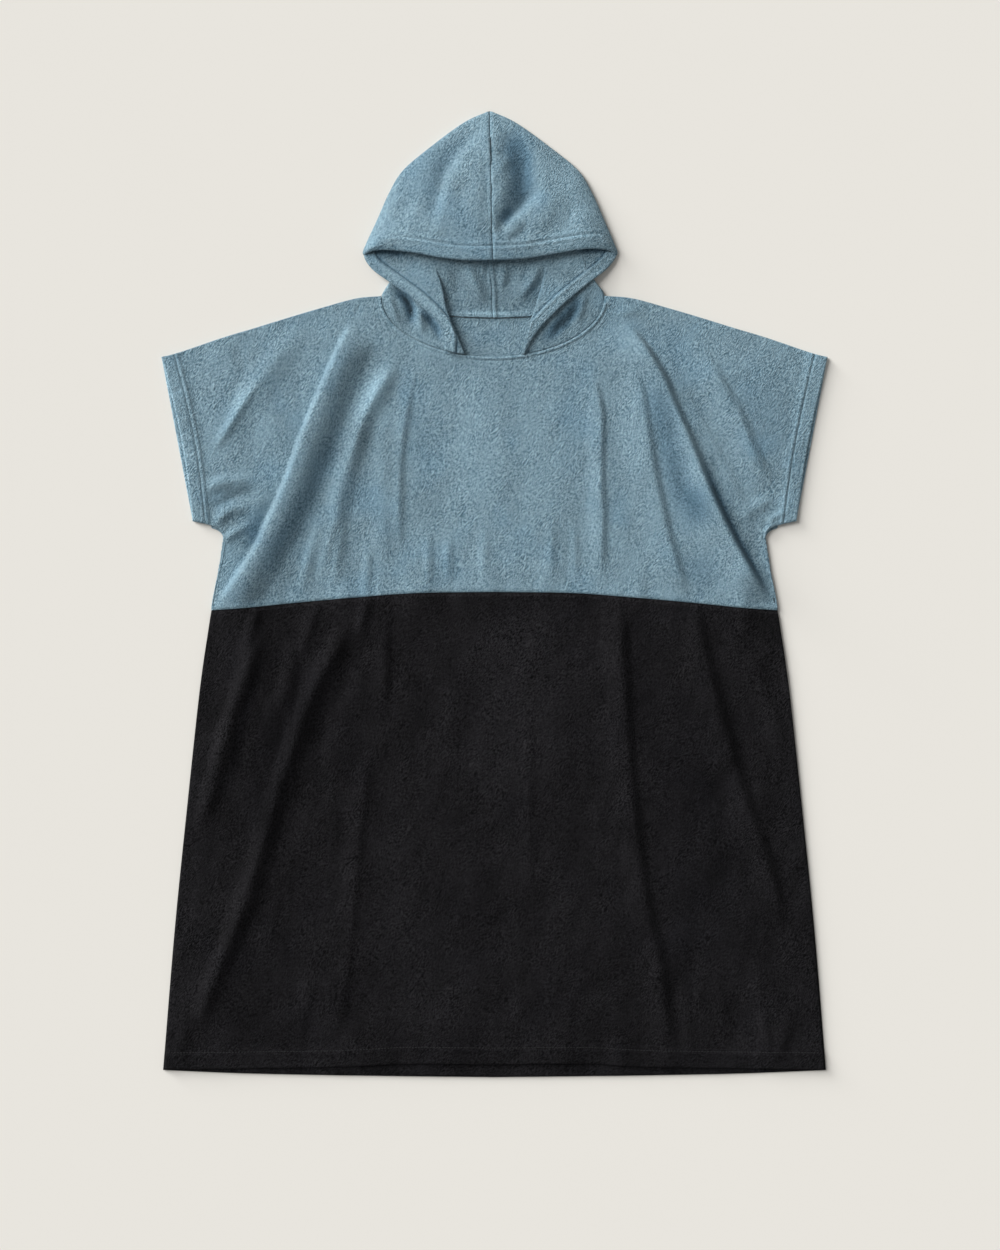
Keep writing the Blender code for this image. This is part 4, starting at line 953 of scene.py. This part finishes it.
def stitches(name, lines, finish):
    """Sewing stitches end to end along each line of points, a little gap apart, in one mesh. A stitch is a
    tube of rings that taper at both ends and sink there, so that all their lower sides are level."""
    starts, ends = [], []
    for line in lines:
        run = run_length(line)
        begin = np.arange(1.0, run[-1] - STITCH - 1.0, STITCH + STITCH_GAP)
        for places, store in ((begin, starts), (begin + STITCH, ends)):
            store.append(np.stack([np.interp(places, run, line[:, k]) for k in range(3)], axis=1))
    start, end = np.vstack(starts), np.vstack(ends)
    way = (end - start) / np.linalg.norm(end - start, axis=1)[:, None]
    side = np.cross(way, (0.0, 0.0, 1.0))
    side = side / np.linalg.norm(side, axis=1)[:, None]
    up = np.cross(side, way)
    turn = 2 * math.pi * np.arange(STITCH_SIDES)[:, None] / STITCH_SIDES
    round_it = side[:, None] * np.cos(turn) + up[:, None] * np.sin(turn)
    rings = []
    for place, width in STITCH_RINGS:
        centre = start + (end - start) * place - up * STITCH_RADIUS * (1 - width)
        rings.append(centre[:, None] + STITCH_RADIUS * width * round_it)
    points = np.stack(rings, axis=1)
    here = np.arange(STITCH_SIDES)
    beside = (here + 1) % STITCH_SIDES
    band = np.stack([here, beside, beside + STITCH_SIDES, here + STITCH_SIDES], axis=1)
    bands = STITCH_SIDES * np.arange(len(STITCH_RINGS) - 1)[:, None, None] + band
    stitch_starts = STITCH_SIDES * len(STITCH_RINGS) * np.arange(len(points))
    faces = (stitch_starts[:, None, None] + bands.reshape(-1, 4)).reshape(-1, 4)
    placed(name, mesh_from(name, points.reshape(-1, 3), faces), finish)


def line_at(grid, distances, offset, lift, rows=True):
    """The line on a grid's surface that lies `offset` from an edge, with a point for each row or column."""
    points = grid if rows else grid.transpose(1, 0, 2)
    distance = distances if rows else distances.T
    line = []
    for samples, run in zip(points, distance):
        order = np.argsort(run)
        line.append([np.interp(offset, run[order], samples[order, k]) for k in range(3)])
    line = np.array(line)
    line[:, 2] += lift
    return line


# ---- materials ----
class Nodes:
    """A material's nodes, each added with its settings and inputs in one call."""

    def __init__(self, name):
        self.material = bpy.data.materials.new(name)
        self.material.use_nodes = True
        self.tree = self.material.node_tree
        self.tree.nodes.clear()
        self.place = self.add("TexCoord").outputs["Object"]

    def add(self, kind, inputs=None, **settings):
        """A node with its settings. Each input is a value, or another node's output, which is linked in."""
        node = self.tree.nodes.new("ShaderNode" + kind)
        for setting, value in settings.items():
            setattr(node, setting, value)
        for socket, value in (inputs or {}).items():
            if isinstance(value, bpy.types.NodeSocket):
                self.tree.links.new(value, node.inputs[socket])
            else:
                node.inputs[socket].default_value = value
        return node

    def finish(self, inputs):
        """The finished material: one Principled shader with these inputs."""
        shader = self.add("BsdfPrincipled", inputs)
        self.add("OutputMaterial", {"Surface": shader.outputs[0]})
        return self.material

    def stretched(self, turn, length, where=None):
        """Coordinates that draw a pattern `length` times as long, towards `turn` degrees from +Y."""
        inputs = {"Vector": self.place if where is None else where,
                  "Rotation": (0, 0, math.radians(turn)), "Scale": (1, length, 1)}
        return self.add("Mapping", inputs, vector_type="TEXTURE").outputs[0]

    def swayed(self, size, amount):
        """Object coordinates pushed about by up to `amount` millimetres, in swells of `size` millimetres."""
        swell = self.add("TexNoise", {"Vector": self.place, "Scale": 1000 / size, "Detail": 1.0})
        inputs = {0: swell.outputs["Color"], 1: (2 * amount * MM,) * 3, 2: self.place}
        return self.add("VectorMath", inputs, operation="MULTIPLY_ADD").outputs[0]

    def noise(self, size, detail, rough=0.5, where=None, distortion=0.0):
        """Noise whose lumps are about `size` millimetres across."""
        inputs = {"Vector": self.place if where is None else where, "Scale": 1000 / size,
                  "Detail": detail, "Roughness": rough, "Distortion": distortion}
        return self.add("TexNoise", inputs).outputs["Fac"]

    def spread(self, value, low, high, to_low=0.0, to_high=1.0):
        """Maps a range of values onto another, held at its ends."""
        inputs = {"Value": value, "From Min": low, "From Max": high, "To Min": to_low, "To Max": to_high}
        return self.add("MapRange", inputs).outputs[0]

    def maths(self, operation, a, b):
        """One arithmetic step on two values."""
        return self.add("Math", {0: a, 1: b}, operation=operation).outputs[0]

    def between(self, a, b, share):
        """The value that lies `share` of the way from a to b."""
        return self.maths("ADD", self.maths("MULTIPLY", a, 1 - share), self.maths("MULTIPLY", b, share))

    def mix(self, share, a, b, how="MIX"):
        """Mixes two colours, each another node's output or three numbers."""
        a, b = (colour if isinstance(colour, bpy.types.NodeSocket) else (*colour, 1) for colour in (a, b))
        return self.add("Mix", {"Factor": share, 6: a, 7: b}, data_type="RGBA", blend_type=how).outputs[2]

    def bump(self, height, depth, strength=1.0, over=None):
        """Bump from a height between 0 and 1, `depth` millimetres deep, over another bump if one is given."""
        inputs = {"Strength": strength, "Distance": depth * MM, "Height": height}
        if over is not None:
            inputs["Normal"] = over
        return self.add("Bump", inputs).outputs[0]


def towelling(name, colours, contrast, sheen):
    """Plush towelling: fine streaks and specks of light and dark pile in clumps, clouded where the nap turns,
    and lightened or darkened by the painted light and shade, and the lighter turned edges, that the mesh
    carries.
    The painted shade is also tinted bluer. `contrast` is that of the clouds."""
    n = Nodes(name)
    swayed = n.swayed(60, 5)
    streaks = n.noise(STREAK, 0.0, 0.5, n.stretched(PILE_LEAN, 2.8, swayed))
    specks = n.noise(SPECK, 0.0, 0.5, swayed)
    clumps = n.noise(CLUMP, 2.0, 0.6, n.stretched(PILE_LEAN, 1.5, swayed))
    ruffled = n.spread(n.noise(RUFFLE, 3.0, 0.6, n.stretched(-20, 1.6)), 0.36, 0.62, 0.50, 1.0)
    grain = n.maths("MULTIPLY", n.maths("SUBTRACT", n.between(streaks, specks, 0.32), 0.5), ruffled)
    colour = n.mix(n.spread(grain, -0.145, 0.135), colours["dark"], colours["light"])
    clouds = n.noise(CLOUD, 3.0, 0.55, n.stretched(-25, 1.8), 0.4)
    wisps = n.noise(WISP, 2.0, 0.5, n.stretched(-8, 3.0), 0.3)
    cloudy = n.spread(n.between(clouds, wisps, 0.4), 0.35, 0.65, 1.0 - contrast, 1.0 + contrast)
    nap_and_painted_shading = n.add("Attribute", attribute_name="nap_and_painted_shading").outputs["Fac"]
    light = n.maths("ADD", cloudy, n.maths("MULTIPLY", nap_and_painted_shading, NAP_AND_SHADING_SHARE))
    bright = n.add("VectorMath", {0: colour, "Scale": light}, operation="SCALE").outputs[0]
    patches = n.spread(n.noise(PATCH, 2.0), 0.50, 0.70, 0.0, 0.4)
    # Random patches and painted shade (below nought) lean towards the tint; painted light leans away from it.
    patch_and_shade_tint = n.maths("ADD", patches, n.maths("MULTIPLY", nap_and_painted_shading, -1.0))
    return n.finish({
        "Base Color": n.mix(patch_and_shade_tint, bright, colours["tint"], "MULTIPLY"),
        "Roughness": 1.0,
        "Specular IOR Level": 0.08,
        "Sheen Weight": sheen,
        "Sheen Roughness": 0.55,
        "Sheen Tint": (*[min(1.0, c * 2.2 + 0.25) for c in colours["light"]], 1),
        "Normal": n.bump(grain, 2.6, over=n.bump(clumps, 0.6))})


def thread(name, colour):
    """Twisted sewing thread: the twist as noise, in the colour and as bump."""
    n = Nodes(name)
    twist = n.noise(0.7, 1.0)
    return n.finish({
        "Base Color": n.mix(n.spread(twist, 0.35, 0.65), [c * 0.7 for c in colour], colour),
        "Roughness": 0.8,
        "Normal": n.bump(twist, 0.2, 0.5)})


def plain_floor():
    """Smooth pale surface, in one colour with the faintest unevenness."""
    n = Nodes("floor")
    share = n.spread(n.noise(240, 2.0), 0.3, 0.7)
    return n.finish({
        "Base Color": n.mix(share, [c * 0.997 for c in FLOOR_COLOUR], FLOOR_COLOUR),
        "Roughness": 0.9,
        "Specular IOR Level": 0.0})


# ---- the object ----
blue = towelling("blue_towelling_nap", BLUE, contrast=0.10, sheen=0.15)
black = towelling("black_towelling_nap", BLACK, contrast=0.32, sheen=0.03)
blue_thread = thread("blue_thread", THREAD_BLUE)
black_thread = thread("black_thread", THREAD_BLACK)

upper_back_piece(blue)
lower_back_piece(black)
front = upper_front_piece(blue)
skirt = lower_front_piece(black)
left_hood = hood_piece("hood_left_cloth", LEFT_HOOD, LEFT_BRIM, -1, "hood_left", blue)
right_hood = hood_piece("hood_right_cloth", RIGHT_HOOD, RIGHT_BRIM, 1, "hood_right", blue)

# ---- sewing ----
# Heights of the threads over the middle of the cloth.
CUFF_THREAD, HOOD_THREAD, HEM_THREAD = 1.6, 1.45, 1.55
BRIM_CORNER_ROWS = 14       # the brim's stitching starts this many rows from its corner
FACE_SEWN = slice(10, FACE_ROWS - 4), slice(48)     # rows and columns of the face edge that are sewn

_, _, front_left, front_right = edge_distances(front)
blue_lines = [line_at(front, distances, cuff_row, CUFF_THREAD)[2:-2]
              for cuff_row in CUFF_ROWS for distances in (front_left, front_right)]
for lower, top in (left_hood, right_hood):
    from_brim = distance_to(top[..., 0], top[..., 1], top[:, -1])
    blue_lines.append(line_at(top, from_brim, BRIM_HEM_WIDTH, HOOD_THREAD)[BRIM_CORNER_ROWS:])
    sewn = lower[FACE_SEWN]
    from_edge = distance_to(sewn[..., 0], sewn[..., 1], lower[:FACE_ROWS + 1, 0])
    blue_lines.append(line_at(sewn, from_edge, FACE_STITCH_ROW, HOOD_THREAD))
stitches("blue_stitches", blue_lines, blue_thread)
_, skirt_up, _, _ = edge_distances(skirt)
black_lines = [line_at(skirt, skirt_up, HEM_STITCH_ROW, HEM_THREAD, rows=False)[3:-3]]
stitches("black_stitches", black_lines, black_thread)

# ---- floor, light and camera ----
FLOOR_HALF = 40.0           # metres, far enough to fill a low view
# Suns: the share of the floor's light that each gives, and its elevation, azimuth and size in degrees.
SUNS = {"window_low": (0.25, 14.0, 140.0, 24.0), "window_high": (0.48, 41.0, 150.0, 34.0)}
CAMERA_HEIGHT = 4.0         # metres
FRAME_HEIGHT = 1.6          # metres of the ground, from the picture's top to its bottom
CAMERA_X, CAMERA_Y = 0.00704, -0.03968
SENSOR = 24.0               # millimetres, the height of the camera's sensor

corners = np.array([(-1, -1, 0), (1, -1, 0), (1, 1, 0), (-1, 1, 0)], float) * FLOOR_HALF / MM
floor_mesh = mesh_from("floor", corners, np.array([[0, 1, 2, 3]]))
floor_mesh.materials.append(plain_floor())
floor = bpy.data.objects.new("floor", floor_mesh)
bpy.context.scene.collection.objects.link(floor)

world = bpy.data.worlds.new("room")
bpy.context.scene.world = world
world.use_nodes = True
room = world.node_tree.nodes["Background"]
room.inputs["Color"].default_value = (1.0, 1.0, 1.0, 1)
room.inputs["Strength"].default_value = 1.0 - sum(share for share, *_ in SUNS.values())

for name, (share, elevation, azimuth, size) in SUNS.items():
    sun_data = bpy.data.lights.new(name, "SUN")
    sun_data.energy = share * math.pi / math.sin(math.radians(elevation))
    sun_data.angle = math.radians(size)
    sun = bpy.data.objects.new(name, sun_data)
    sun.rotation_euler = (0, math.radians(90 - elevation), math.radians(azimuth))
    bpy.context.scene.collection.objects.link(sun)

camera_data = bpy.data.cameras.new("camera")
camera_data.sensor_fit = "VERTICAL"
camera_data.sensor_height = SENSOR
camera_data.lens = SENSOR * CAMERA_HEIGHT / FRAME_HEIGHT
camera_data.dof.use_dof = False
camera = bpy.data.objects.new("camera", camera_data)
camera.location = (CAMERA_X, CAMERA_Y, CAMERA_HEIGHT)
bpy.context.scene.collection.objects.link(camera)
bpy.context.scene.camera = camera
bpy.context.scene.view_settings.view_transform = "Standard"
